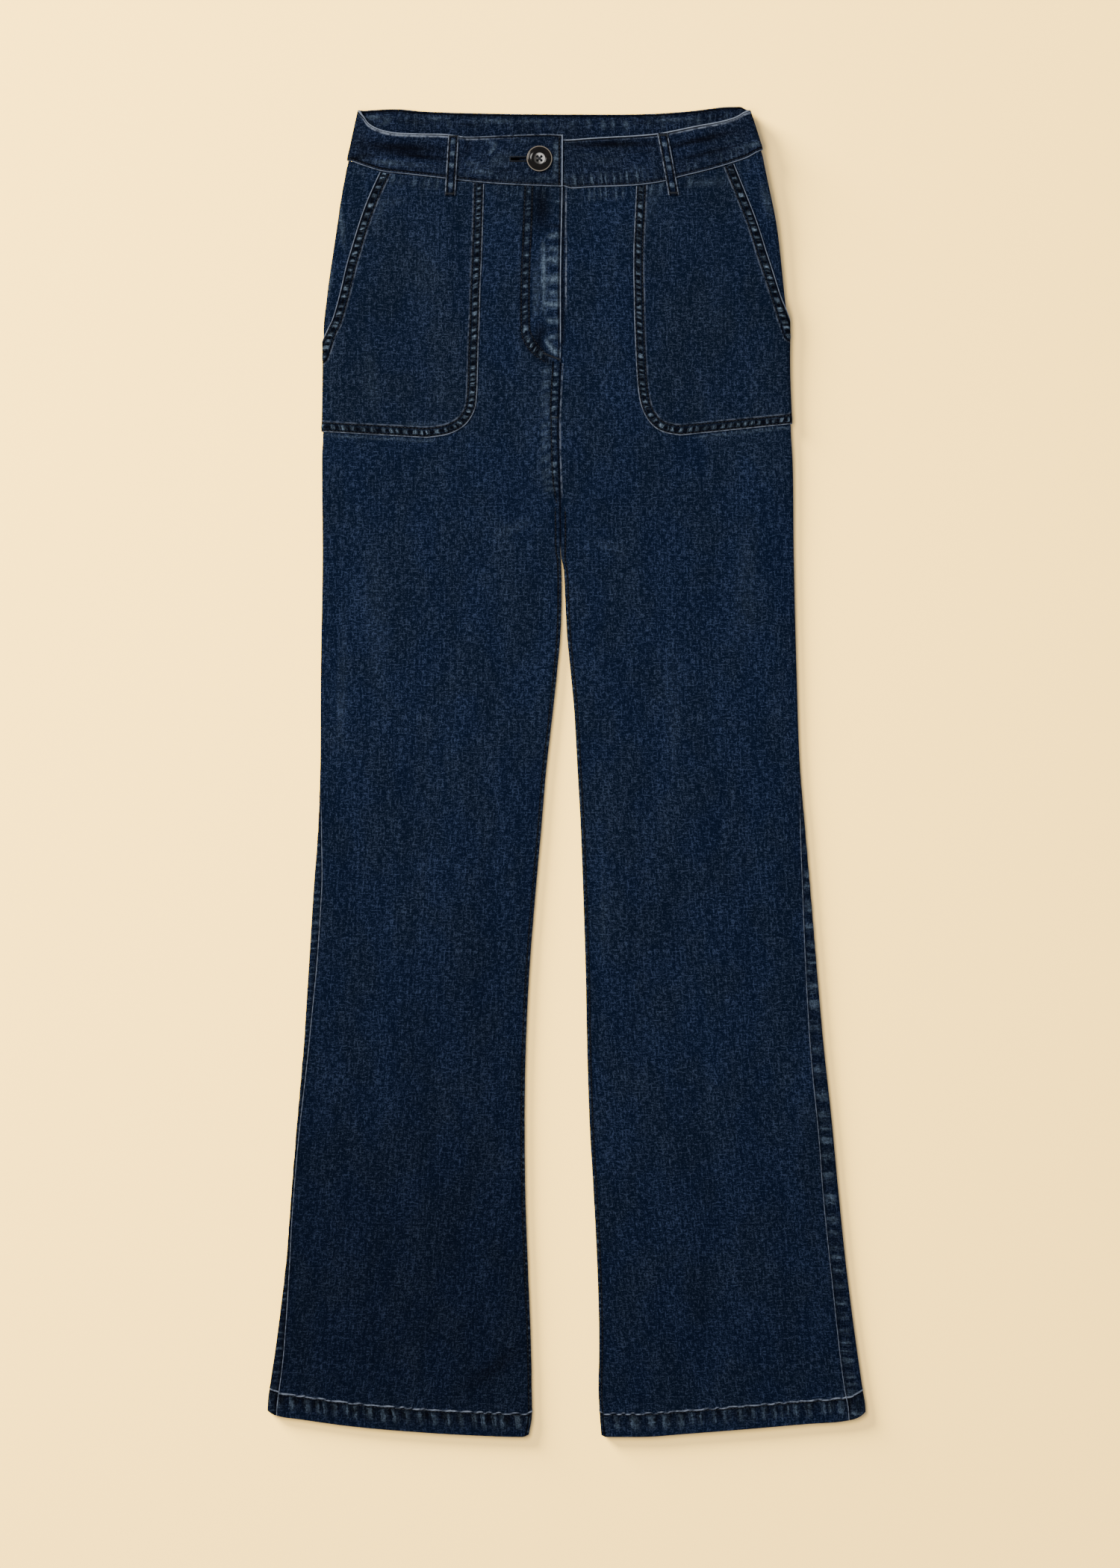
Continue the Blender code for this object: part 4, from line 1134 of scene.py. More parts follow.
def front_panel(side):
    rows = panel_rows(*FRONT_ROWS)
    if side == LEFT:
        rows = np.sort(np.append(rows, (FLY_UNDERLAP_END, FLY_UNDERLAP_END - 0.4 * MM)))[::-1]
    nominal = Skin(side, rows)
    laps = (side == LEFT) & (rows >= FLY_UNDERLAP_END)
    seam, end = nominal.seam() + GAP / 2, nominal.reach - seam_gap(nominal) + FLY_UNDERLAP * laps
    girths = stops_in_two(seam, nominal.reach - FLY_COLUMNS, end, (2.6 * MM, 1.35 * MM))
    skin, girth = bend_rows(side, rows, girths, FRONT_WAIST[side])
    sheet = front_sheet(side, skin, girth)
    if side == LEFT:
        under = girth > skin.reach - 2.5 * MM
        sheet.lift = np.where(under & laps[:, None], 0.0, sheet.lift)
    sheet.roll(above_hem(side, skin, girth), HEM_WALL)
    raised = FLY_RAISE * fly_mask(sheet.x, sheet.y) if side == RIGHT else 0.0
    node = f"front_panel_{SIDE_NAMES[side]}"
    piece = wrap(f"sewn_{node}", skin, girth, sheet, raised, panel_wall(rows), girth, PANEL_DENIM)
    return put_on(piece, "denim", node)


fronts = {side: front_panel(side) for side in (RIGHT, LEFT)}
show(fronts.values())

# %% [markdown]
# ## Back panels
# Each back panel starts at the side seam, which lies on the front of the leg from mid-thigh
# down, turns round the edge and runs flat under the leg. The strip that shows from the front is
# puckered by the seam. The underside rests on the surface, so its creases only go inwards.

# %% Back panels
# The dark tones of the troughs are painted shade.
BACK_CREASES = {
    RIGHT: ((-120, 330, 20, 60, 8, -0.4, -0.10), (-90, 300, 12, 60, 7, -0.4, -0.08),
            (-130, -40, 88, 200, 10, -0.3, -0.06), (-60, 200, 30, 50, 6, -0.35, -0.08),
            (-120, -380, 95, 120, 10, -0.3, -0.06)),
    LEFT: ((105, 335, -20, 60, 8, -0.4, -0.10), (80, 300, -10, 60, 7, -0.4, -0.08),
           (120, -60, 92, 200, 10, -0.3, -0.06), (50, 205, -30, 50, 6, -0.35, -0.08),
           (130, -400, 86, 120, 10, -0.3, -0.06))}
SIDE_PUCKERS = {RIGHT: (3.0, 6.0, 0.16), LEFT: (4.6, 13.0, 0.26)}


def back_sheet(side, skin, girth):
    """Everything that happens on a back panel."""
    x, y = skin.plan_x(girth), np.broadcast_to(skin.level, girth.shape)
    sheet = Sheet(x, y)
    sheet.tone = sheet.tone + zone_tone(side, y)
    sheet.creases(BACK_CREASES[side])
    under = smoothstep(-girth / skin.quarter)
    sheet.lift, sheet.tone = sheet.lift * under, sheet.tone * under + (1 - under) * zone_tone(side, y)
    mark_hem(sheet, above_hem(side, skin, girth), x, SEEDS["hem_back"] + side)
    sheet.lift = np.where(girth < 0, np.minimum(sheet.lift, 0.0), sheet.lift)

    from_seam = skin.seam() - girth
    strip = (1 - smoothstep((from_seam - 14 * MM) / (3 * MM))) * (1 - under)
    sheet.add(strip, 0.0, -0.10)
    reach, pitch, pull = SIDE_PUCKERS[side]
    sheet.ladder(y, from_seam, 1.0 + reach, reach, pitch, 0.05, SEEDS["side_seam"] + side,
                 0.30 * strip, pull * strip)
    sheet.line(from_seam, 0.9, 1.0, -0.30)
    from_end = skin.reach + girth
    sheet.row(from_end - 1.6 * MM)
    sheet.row(from_end - 7.6 * MM)
    sheet.ladder(y, from_end, 4.6, 2.4, 7.0, 0.1, SEEDS["inseam_back"] + side, 0.0, 0.30)
    sheet.fold(from_end, 0.7)
    sheet.roll(from_end, WALL)
    sheet.roll(from_seam, WALL)
    return sheet


def back_panel(side):
    rows = panel_rows(*BACK_ROWS)
    nominal = Skin(side, rows)
    seam, end = nominal.seam() - GAP / 2, -(nominal.reach - np.maximum(seam_gap(nominal), HAIR))
    girths = stops_in_two(seam, -nominal.quarter, end, (1.7 * MM, 4.0 * MM))
    skin, girth = bend_rows(side, rows, girths, BACK_WAIST[side])
    sheet = back_sheet(side, skin, girth)
    sheet.roll(above_hem(side, skin, girth), HEM_WALL)
    node = f"back_panel_{SIDE_NAMES[side]}"
    piece = wrap(f"sewn_{node}", skin, girth, sheet, 0.0, panel_wall(rows), girth, PANEL_DENIM)
    return put_on(piece, "denim", node)


backs = {side: back_panel(side) for side in (RIGHT, LEFT)}
show(backs.values())

# %% [markdown]
# ## Patch pockets
# A pocket lies on its front panel, one wall up. Its free edge is turned in and sewn with two
# rows, and the cloth between them is pulled into a ladder of small slanted puckers.

# %% Pockets
POCKET_LIFT, MOUTH_LIFT = GAP + WALL, 0.5 * MM
POCKET_CREASES = {
    RIGHT: ((-150, 480, 5, 26, 3, 0.1, 0.06), (-120, 420, 84, 70, 9, 0.15, 0.02),
            (-165, 335, 96, 50, 5, 0.15, 0.04), (-140, 292, 3, 60, 2.0, 0.15, 0.08),
            (-158, 470, 68, 16, 2.0, 0.1, 0.08)),
    LEFT: ((118, 496, 8, 26, 3, 0.1, 0.12), (74, 482, 86, 30, 4, 0.1, 0.05),
           (130, 400, 95, 70, 9, 0.15, 0.02), (68, 470, 90, 30, 2, 0.1, 0.05),
           (100, 493, -8, 14, 2.4, 0.1, -0.2))}
POCKET_PULLS = {RIGHT: ((-156, -104),), LEFT: ((60, 88), (94, 118))}


def pocket_sheet(side, x, y):
    """Everything that happens on a patch pocket."""
    sheet = Sheet(x, y)
    sheet.creases(POCKET_CREASES[side])
    slant_along, slant_in, inner_along, inner_in = inside_pocket(side, x, y)
    sheet.fold(slant_in, 0.82)
    sheet.fold(inner_in, 0.72)
    for distance in POCKET_ROWS_IN:
        sheet.row(slant_in - distance)
        sheet.row(inner_in - distance)
    sheet.ladder(slant_along, slant_in, 4.2, 1.75, 6.4, 0.35, SEEDS["opening"] + side, 0.35, 0.74)
    sheet.ladder(inner_along, inner_in, 4.2, 1.7, 6.4, -0.28, SEEDS["pocket_edge"] + side, 0.35, 0.66)
    nearest = np.minimum(slant_in, inner_in)
    sheet.line(nearest, 4.4, 3.5, -0.36, power=6)
    sheet.fold(nearest - 8.9 * MM, 0.24)
    sheet.roll(slant_in, WALL)
    sheet.roll(inner_in, WALL)
    return sheet


def pocket(side):
    skin, girth, _ = POCKET_GRIDS[side]
    sheet = pocket_sheet(side, skin.plan_x(girth), skin.level)
    below = read(FRONT_WAIST[side], "seam", skin.place(girth)[0], "inset") - sheet.y
    pulled = 0.03 + 0.15 * sum(window(sheet.x, start, end) for start, end in POCKET_PULLS[side])
    sheet.ladder(sheet.x, below, 4.6, 5.0, 7.4, 0.2, SEEDS["pocket_top"] + side, 0.25, pulled)
    slant_in = inside_pocket(side, sheet.x, sheet.y)[1]
    mouth = MOUTH_LIFT * (1 - rise(slant_in, 0.0, 5)) * rise(sheet.y, 0.372, 10)
    node = f"pocket_{SIDE_NAMES[side]}"
    piece = wrap(f"sewn_{node}", skin, girth, sheet, POCKET_LIFT + mouth, WALL, sheet.x, POCKET_DENIM)
    return put_on(piece, "denim_pocket", node)


pockets = {side: pocket(side) for side in (RIGHT, LEFT)}
show(pockets.values())

# %% [markdown]
# ## Waistband
# The waistband is a folded strip two layers thick, sewn on over the top of the panels. Its front
# halves meet at the button, where the right one laps over the left one. They stand lower than
# the back, so the inside of the back shows above them.

# %% Waistband levels
BAND_LIFT = 1.8 * MM
BAND_STEP = (BAND_WALL + GAP) / 2 + 0.1 * MM
BAND_UNDERLAP = 35 * MM
OVERLAP_RISE, UNDERLAP_DROP = (80 * MM, 40 * MM), (19 * MM, 1 * MM)
BAND_HEIGHT = 39 * MM


def band_level(waist, inset, share):
    """Level at a share of the waistband's height, just above the waist seam at its foot."""
    seam = read(waist, "seam", inset, "inset") + GAP / 2
    return seam + (read(waist, "top", inset, "inset") - seam) * share


def band_lift(side, from_middle):
    """Lift of a front band, which rises as the overlap and drops as the underlap."""
    start, end = OVERLAP_RISE if side == RIGHT else UNDERLAP_DROP
    share = smoothstep((start - from_middle) / (start - end))
    return BAND_LIFT - side * BAND_STEP * share


def band_shares():
    """Shares of the band's height, from its foot to its top edge."""
    return stops(0.0, BAND_HEIGHT, 1.6 * MM)[0][:, None] / BAND_HEIGHT


print("band rows:", len(band_shares()))

# %% [markdown]
# Creases and worn patches of the band, as before: middle, turn, half length, width, height and
# tone. The deep dark creases are painted shade in the wrinkles. The overlap carries the
# buttonhole, a slot with a stitched rim.

# %% Front bands
BUTTON_X, BUTTON_LEVEL = -22.7 * MM, 516 * MM
SLOT_LENGTH, SLOT_WIDTH = 25 * MM, 2.2 * MM
SLOT_MIDDLE = BUTTON_X + SLOT_WIDTH / 2 - SLOT_LENGTH / 2
BAND_CREASES = {
    RIGHT: ((-153, 513, 0, 18, 2.4, 0.15, 0.14), (-135, 512, -5, 56, 3.0, 0.20, 0.12),
            (-140, 525.5, -4, 66, 5.0, -0.30, -0.85), (-122, 518.0, -6, 40, 2.0, -0.25, -0.70),
            (-166, 519.5, -6, 14, 1.6, -0.2, -0.45), (-150, 530.5, -7, 18, 1.1, 0.15, 0.12),
            (-177, 517, 8, 14, 2.2, -0.25, -0.65), (-172, 527, 20, 12, 2.0, 0.15, 0.12),
            (-118, 522.0, -3, 16, 0.9, 0.15, 0.12), (-62, 524, 62, 10, 1.4, 0.25, 0.34),
            (-66, 531, -25, 10, 1.5, 0.20, 0.22), (-80, 512, -12, 14, 2.2, 0.15, 0.16),
            (-72, 505, -6, 20, 2.6, 0.15, 0.20), (-58, 516, 0, 34, 9.0, 0.0, 0.11),
            (-83, 527, 80, 12, 3.0, -0.1, -0.45), (-52, 506, 10, 12, 1.3, -0.1, -0.35),
            (-66, 517, 40, 10, 1.2, -0.15, -0.40), (-40, 531, 0, 28, 2.0, 0.1, 0.10),
            (-9, 516, 88, 24, 2.0, 0.2, 0.26), (-20, 500, 0, 20, 2.2, 0.1, 0.13)),
    LEFT: ((40, 528.5, 1, 66, 3.0, -0.3, -0.88), (26, 531.5, 0, 12, 1.2, 0.2, 0.16),
           (60, 522.5, 2, 26, 1.4, -0.2, -0.35), (16, 520, 4, 16, 1.2, 0.2, 0.12),
           (100, 526, 18, 20, 1.6, 0.25, 0.22), (112, 532, 14, 44, 3.0, -0.25, -0.88),
           (118, 521, 14, 38, 2.2, -0.2, -0.66), (142, 525, 12, 22, 1.6, 0.2, 0.20),
           (138, 531, 16, 18, 1.1, 0.2, 0.14), (159, 528, 14, 9, 3.0, 0.15, 0.26),
           (30, 515, 3, 34, 4.5, 0.15, 0.09), (128, 512, 14, 38, 2.6, 0.15, 0.15),
           (60, 508, 2, 20, 4.0, 0.1, 0.10), (104, 506, 10, 14, 3.0, 0.1, 0.12))}


def band_sheet(side, skin, girth, share, inset):
    """Everything that happens on a front half of the waistband."""
    sheet = Sheet(skin.plan_x(girth), skin.level)
    tall = band_level(FRONT_WAIST[side], inset, 1.0) - band_level(FRONT_WAIST[side], inset, 0.0)
    up, down = tall * share, tall * (1 - share)
    sheet.tone = sheet.tone - 0.04
    sheet.creases(BAND_CREASES[side])
    sheet.fold(up, 0.74 if side == RIGHT else 0.95)
    sheet.row(up - 2.2 * MM)
    sheet.line(up, 2.4, 1.2, -0.35)
    sheet.fold(down - 0.3 * MM, 1.0 - 0.55 * window(sheet.x, -90, -2))
    sheet.fold(down - 2.5 * MM, 0.55 * smoothstep(np.abs(sheet.x) / (99 * MM)))
    sheet.row(down - 1.6 * MM)
    if side == LEFT:
        pulled = 0.08 + 0.22 * window(sheet.x, 0, 66)
        sheet.ladder(sheet.x, up, 6.6, 4.6, 6.3, 0.1, SEEDS["underlap"], 0.35, pulled)
        sheet.lift = sheet.lift * smoothstep((skin.reach - girth) / (4 * MM))
    else:
        sheet.ladder(sheet.x, up, 4.6, 3.0, 7.5, 0.2, SEEDS["overlap"], 0.15, 0.07)
        from_end = skin.reach - GAP / 2 - girth
        sheet.fold(from_end - 0.4 * MM, 1.0)
        sheet.row(from_end - 2.8 * MM)
        sheet.ladder(sheet.y, from_end, 5.4, 2.4, 11.0, 0.0, SEEDS["overlap_end"], 0.20, 0.24)
        dx = np.abs(sheet.x - SLOT_MIDDLE) - SLOT_LENGTH / 2
        dy = np.abs(sheet.y - BUTTON_LEVEL) - SLOT_WIDTH / 2
        sheet.row(np.maximum(dx, dy) - 0.7 * MM)
    sheet.roll(up, BAND_WALL)
    sheet.roll(down, BAND_WALL)
    return sheet


def front_band(side):
    middle = Skin(side, TOP_ROW)
    end = middle.reach - GAP / 2 if side == RIGHT else middle.reach + BAND_UNDERLAP
    girths = stops(middle.seam() + GAP / 2, end, 1.6 * MM)
    inset, share = middle.place(girths)[0], band_shares()
    skin = Skin(side, band_level(FRONT_WAIST[side], inset, share))
    girth = skin.refit(girths, middle)
    sheet = band_sheet(side, skin, girth, share, inset)
    sheet.roll(girths - girths[:, :1] + 0 * share, BAND_WALL)
    sheet.roll(girths[:, -1:] - girths + 0 * share, BAND_WALL)
    base = band_lift(side, middle.width - inset)
    name = f"sewn_waistband_front_{SIDE_NAMES[side]}"
    return wrap(name, skin, girth, sheet, base, BAND_WALL, girth, BAND_DENIM)


def prism(name, outline, middle, height):
    """Upright block over an outline in plan, used as a cutter."""
    count = len(outline)
    points = [(middle[0] + x, middle[1] + y, middle[2] + z)
              for z in (-height / 2, height / 2) for x, y in outline]
    faces = [tuple(range(count))[::-1], tuple(range(count, 2 * count))]
    faces += [(k, (k + 1) % count, (k + 1) % count + count, k + count) for k in range(count)]
    return linked(name, new_mesh(name, points, faces))


def settle(piece):
    """Apply a piece's modifiers, so that it is a plain mesh."""
    bpy.context.view_layer.update()
    graph = bpy.context.evaluated_depsgraph_get()
    before, after = piece.data, bpy.data.meshes.new_from_object(piece.evaluated_get(graph))
    piece.modifiers.clear()
    piece.data = after
    bpy.data.meshes.remove(before)
    return piece


def carve(piece, cutters):
    """Subtract cutters for good, and remove them."""
    for cutter in cutters:
        boolean = piece.modifiers.new(cutter.name, "BOOLEAN")
        boolean.operation, boolean.object = "DIFFERENCE", cutter
    settle(piece)
    for cutter in cutters:
        bpy.data.objects.remove(cutter, do_unlink=True)
    return piece


seat_skin = Skin(RIGHT, BUTTON_LEVEL)
seat_girth = seat_skin.girth(BUTTON_X - seat_skin.edge)
BUTTON_SEAT = float(seat_skin.points(seat_girth, BAND_LIFT + BAND_STEP)[2])
front_bands = {side: front_band(side) for side in (RIGHT, LEFT)}
SLOT = [(SLOT_LENGTH / 2 * x, SLOT_WIDTH / 2 * y) for x, y in ((-1, -1), (1, -1), (1, 1), (-1, 1))]
carve(front_bands[RIGHT],
      [prism("slot", SLOT, (SLOT_MIDDLE, BUTTON_LEVEL, BUTTON_SEAT), 3 * BAND_WALL)])
for side, piece in front_bands.items():
    put_on(piece, "denim_band", f"waistband_front_{SIDE_NAMES[side]}")
show(front_bands.values())

# %% [markdown]
# The back of the waistband is one piece from side to side. Its inner face is the one that shows,
# a narrow strip above the front band, so that face has its own creases and slubs. The dark
# creases are painted shade.

# %% Back band
BACK_BAND_SLUBS_AND_SHADE = (
    (4, 547, 90, 8, 0.9, 0.15, 0.40), (18.6, 547, 90, 8, 0.8, 0.15, 0.40),
    (31, 547, 88, 7, 0.8, 0.15, 0.30), (38.7, 547, 92, 7, 0.8, 0.15, 0.28),
    (50.7, 547, 90, 8, 0.9, 0.15, 0.36), (-163, 553, 0, 12, 1.8, 0.15, 0.34),
    (-152, 549, 30, 12, 1.2, 0.15, 0.24), (-109, 552, 0, 12, 1.5, 0.10, 0.32),
    (-60, 550, 0, 18, 1.8, 0.15, 0.28), (-30, 550, 0, 18, 1.6, 0.15, 0.18),
    (-130, 549, -4, 20, 1.6, -0.1, -0.45), (-84, 546, 0, 18, 1.4, -0.1, -0.40),
    (66, 548, 2, 16, 1.4, -0.1, -0.40), (90, 551, 3, 30, 1.6, 0.15, 0.18),
    (112, 552, 90, 6, 0.9, 0.1, 0.30), (128, 553, 8, 16, 1.4, -0.1, -0.40))


def back_band():
    share = band_shares()
    outer, inner, across, faces = [], [], [], []
    for side in (RIGHT, LEFT):
        middle = Skin(side, TOP_ROW)
        girths = stops_in_two(middle.seam() - GAP / 2, -middle.quarter, -middle.reach,
                              (1.2 * MM, 3.0 * MM), (True, False))
        inset = middle.place(girths)[0]
        skin = Skin(side, band_level(BACK_WAIST[side], inset, share))
        girth = skin.refit(girths, middle)
        base = BAND_LIFT * (1 - smoothstep(-girth / skin.quarter))
        x = skin.plan_x(girth)
        low, tall = skin.level, band_level(BACK_WAIST[side], inset, 1.0)
        under, inside = Sheet(x, skin.level), Sheet(x, skin.level)
        down = tall - low
        inside.creases(BACK_BAND_SLUBS_AND_SHADE)
        for face in (under, inside):
            face.roll(down, BAND_WALL)
            face.roll(low - low[:1], BAND_WALL)
            face.roll(girths[:, :1] - girths + 0 * share, BAND_WALL)
            face.fold(down, 0.55)
            face.row(down - 1.6 * MM)
        inside.line(down, 1.2, 2.2, -0.60)
        inside.ladder(x, down, 8.0, 5.0, 9.0, 0.0, SEEDS["inside"] + side, 0.10, 0.07)
        lifts = under.faces(base, BAND_WALL)
        outer.append(skin.points(girth, lifts[0]))
        inner.append(skin.points(girth, lifts[1] - inside.lift))
        across.append(side * (girth + skin.reach))
        faces.append((under, inside))
    order = (slice(None), slice(-2, None, -1))
    both = [np.concatenate([grid[0][:, order[0]], grid[1][:, order[1]]], 1) for grid in (outer, inner)]
    spread = np.concatenate([across[0], across[1][:, order[1]]], 1)
    sheets = []
    for k in range(2):
        joined = Sheet(both[k][..., 0], both[k][..., 1])
        for mark in MARKS:
            halves = [getattr(faces[0][k], mark), getattr(faces[1][k], mark)[:, order[1]]]
            setattr(joined, mark, np.concatenate(halves, 1))
        sheets.append(joined)
    uv = np.stack([spread, sheets[0].y], -1)
    return cloth("sewn_waistband_back", both[0], both[1], uv, sheets[0], BAND_DENIM, sheets[1])


rear_band = put_on(back_band(), "denim_band", "waistband_back")
show([rear_band])

# %% [markdown]
# ## Belt loops
# Each front loop is a narrow folded strip that stands off the band in the middle and is sewn
# down at its top and a little way below the waist seam. Bars of worn cloth cross it where it
# buckles. The loops at the back are hidden, so they are plain.

# %% Belt loops
LOOP_WIDTH, LOOP_WALL, BACK_LOOP_WALL = 9 * MM, 1.5 * MM, 1.2 * MM
LOOP_ARCH, LOOP_TAIL = 1.3 * MM, 7 * MM
LOOP_ROWS, LOOP_TACK = (-3.1 * MM, 3.1 * MM), np.linspace(-3.6, 3.6, 10) * MM
FRONT_TAILS = {RIGHT: 13.6 * MM, LEFT: 11.6 * MM}
FRONT_LOOPS = {
    RIGHT: (-95.0 * MM, -98.0 * MM, (530.1, 520.4, 510.3, 493.9), (535.0, 486.8)),
    LEFT: (80.8 * MM, 90.4 * MM, (527.9, 516.0, 508.4, 493.9), (536.0, 487.5))}
BACK_LOOP_PLACES = (-98 * MM, -3 * MM, 92 * MM)


def loop_sheet(x, y, offset, bars, tacks):
    sheet = Sheet(x, y)
    half = LOOP_WIDTH / 2
    for bar in bars:
        sheet.line(y, bar, 2.4, 0.66, 0.3, bell(offset, 3.0 * MM, 4))
    for tack in tacks:
        sheet.line(y, tack, 1.2, -0.45, -0.15)
    sheet.tone = sheet.tone - 0.22
    sheet.fold(half - np.abs(offset) - 0.2 * MM, 0.62)
    sheet.row(half - np.abs(offset) - 1.7 * MM)
    sheet.roll(half - np.abs(offset), LOOP_WALL)
    sheet.roll(y - y.min(), LOOP_WALL)
    sheet.roll(y.max() - y, LOOP_WALL)
    return sheet


def loop_ends(side):
    """Levels of a front loop's foot and top."""
    inset = side * (Skin(side, TOP_ROW).edge - FRONT_LOOPS[side][0])
    foot, top = (band_level(FRONT_WAIST[side], inset, share) for share in (0.0, 1.0))
    return foot - FRONT_TAILS[side], top


def on_loop(side, offset, level):
    """Skin, girth and lift of places across and along a front loop, and their X."""
    top_x, foot_x = FRONT_LOOPS[side][:2]
    foot, top = loop_ends(side)
    share = (level - foot) / (top - foot)
    skin = Skin(side, level + 0 * offset)
    x = foot_x + (top_x - foot_x) * share + offset
    lift = BAND_LIFT + GAP + LOOP_WALL + LOOP_ARCH * np.sin(share * math.pi)
    return skin, skin.girth(side * (skin.edge - x)), lift, x


def front_loop(side):
    level = stops(*loop_ends(side), 0.9 * MM)[0][:, None]
    offset = stops(-LOOP_WIDTH / 2, LOOP_WIDTH / 2, 0.9 * MM)
    skin, girth, base, x = on_loop(side, offset, level)
    sheet = loop_sheet(x, skin.level, offset + 0 * level, *FRONT_LOOPS[side][2:])
    node = f"belt_loop_front_{SIDE_NAMES[side]}"
    piece = wrap(f"sewn_{node}", skin, girth, sheet, base, LOOP_WALL, x, BAND_DENIM)
    return put_on(piece, "denim_band", node)


def back_loop(number, middle_x):
    ring = Skin(LEFT, TOP_ROW)
    side = LEFT if middle_x > float(ring.edge - ring.width) else RIGHT
    inset = side * (Skin(side, TOP_ROW).edge - middle_x)
    foot = band_level(BACK_WAIST[side], inset, 0.0) - LOOP_TAIL
    y = stops(foot, band_level(BACK_WAIST[side], inset, 1.0), 2.0 * MM)[0][:, None]
    offset = stops(-LOOP_WIDTH / 2, LOOP_WIDTH / 2, 1.2 * MM)
    x, y = np.broadcast_arrays(middle_x + offset, y)
    sheet = loop_sheet(x, y, offset + 0 * y, (), ())
    inner = np.stack([x, y, BACK_LOOP_WALL - sheet.drop], -1)
    outer = np.stack([x, y, sheet.drop], -1)
    uv = np.stack([x, y], -1)
    piece = cloth(f"sewn_belt_loop_back_{number}", outer, inner, uv, sheet, BAND_DENIM)
    return put_on(piece, "denim_band", f"belt_loop_back_{number}")


front_loops = {side: front_loop(side) for side in (RIGHT, LEFT)}
back_loops = [back_loop(number, x) for number, x in enumerate(BACK_LOOP_PLACES, start=1)]
print("belt loops:", len(front_loops) + len(back_loops))

# %% [markdown]
# ## Button
# A four-hole button, turned as half its section round the middle. It is polished and nearly
# black, with a pale line round the rim and a painted reflection round the holes, and sits on a
# stem of thread that passes the buttonhole.

# %% Button
BUTTON_THICKNESS, BUTTON_STEPS = 3.4 * MM, 64
HOLE_RADIUS, HOLE_CIRCLE = 0.9 * MM, 2.3 * MM
HOLE_PLACE = HOLE_CIRCLE * math.sin(math.pi / 4)
BUTTON_BASE = BUTTON_SEAT + GAP
BUTTON_PROFILE = (
    (3.4, 2.50), (3.9, 2.53), (4.3, 2.68), (4.7, 2.98), (5.2, 3.24), (5.8, 3.38), (6.4, 3.40),
    (7.0, 3.32), (7.6, 3.15), (8.3, 2.88), (9.0, 2.58), (9.6, 2.34), (9.9, 2.30), (10.2, 2.36),
    (10.5, 2.32), (10.72, 2.10), (10.8, 1.75), (10.7, 1.3), (10.4, 0.9),
    (9.9, 0.6), (9.2, 0.3), (7.6, 0.02), (4.0, 0.0), (0.8, 0.0), (0.8, -2.7))


def lathe(name, profile, middle, steps, finish):
    """Closed round mesh, from the top middle down the profile to the bottom middle."""
    turns = np.linspace(0, 2 * math.pi, steps, endpoint=False)
    rings = [[(middle[0] + r * MM * math.cos(t), middle[1] + r * MM * math.sin(t), middle[2] + h * MM)
              for t in turns] for r, h in profile]
    points = [point for ring in rings for point in ring]
    ends = [(*middle[:2], middle[2] + profile[k][1] * MM) for k in (0, -1)]
    faces = []
    for k in range(len(profile) - 1):
        for t in range(steps):
            n = (t + 1) % steps
            faces.append((k * steps + t, (k + 1) * steps + t, (k + 1) * steps + n, k * steps + n))
    top, bottom, last = len(points), len(points) + 1, (len(profile) - 1) * steps
    for t in range(steps):
        n = (t + 1) % steps
        faces.append((top, t, n))
        faces.append((bottom, last + n, last + t))
    mesh = new_mesh(name, points + ends, faces)
    mesh.shade_smooth()
    mesh.set_sharp_from_angle(angle=math.radians(45))
    return new_piece(name, mesh, finish)


def horn():
    finish = Finish("button_horn")
    place = finish.place()
    from_middle = finish.node("ShaderNodeMapping", {}, {
        "Vector": place, "Location": (-BUTTON_X, -BUTTON_LEVEL, 0.0), "Scale": (1.0, 1.0, 0.0)})
    radius = finish.node("ShaderNodeVectorMath", {"operation": "LENGTH"}, {0: from_middle}, output=1)
    streaks = finish.noise(place, (160, 420, 160), detail=3.0)
    colour = finish.mix(finish.ramp(streaks, 0.4, 0.75), (0.0030, 0.0022, 0.0020),
                        (0.0100, 0.0065, 0.0055))
    x, y = (finish.node("ShaderNodeSeparateXYZ", {}, {0: from_middle}, output=k) for k in (0, 1))
    # Painted reflection: a pale ring round the holes, strongest to the right and a little up, where the
    # dish's inner wall faces the lamp. The holes stay dark.
    wear_and_highlight = finish.ramp(radius, 0.6 * MM, 1.0 * MM) * finish.ramp(radius, 4.3 * MM, 5.1 * MM, 1.0, 0.0)
    highlight_side = x * 0.93 + y * 0.37
    dx, dy = x.most(x * -1.0) - HOLE_PLACE, y.most(y * -1.0) - HOLE_PLACE
    lobe = finish.ramp(dx * dx + dy * dy, 0.9 * MM * MM, 1.7 * MM * MM, 0.0, 1.0)
    pale = wear_and_highlight * lobe * finish.ramp(highlight_side, -2.6 * MM, 1.6 * MM, 0.10, 1.0)
    colour = finish.mix(pale, colour, (0.60, 0.58, 0.56))
    rim = finish.ramp(radius, 9.9 * MM, 10.15 * MM) * finish.ramp(radius, 10.6 * MM, 10.8 * MM, 1.0, 0.3)
    colour = finish.mix(rim * 0.9, colour, (0.30, 0.26, 0.21))
    return finish.surface(specular=0.25, base_color=colour, roughness=0.14)


button = lathe("horn_button", BUTTON_PROFILE, (BUTTON_X, BUTTON_LEVEL, BUTTON_BASE), BUTTON_STEPS,
               horn())
HOLE_TURNS = [math.pi / 4 + k * math.pi / 2 for k in range(4)]
HOLES = [(BUTTON_X + HOLE_CIRCLE * math.cos(turn), BUTTON_LEVEL + HOLE_CIRCLE * math.sin(turn))
         for turn in HOLE_TURNS]
HOLE_STEPS = [k * 2 * math.pi / 20 for k in range(20)]
HOLE = [(HOLE_RADIUS * math.cos(turn), HOLE_RADIUS * math.sin(turn)) for turn in HOLE_STEPS]
carve(button, [prism(f"hole_{k}", HOLE, (x, y, BUTTON_BASE), 4 * BUTTON_THICKNESS)
               for k, (x, y) in enumerate(HOLES)])
put_on(button, "button", "button")
show([button])

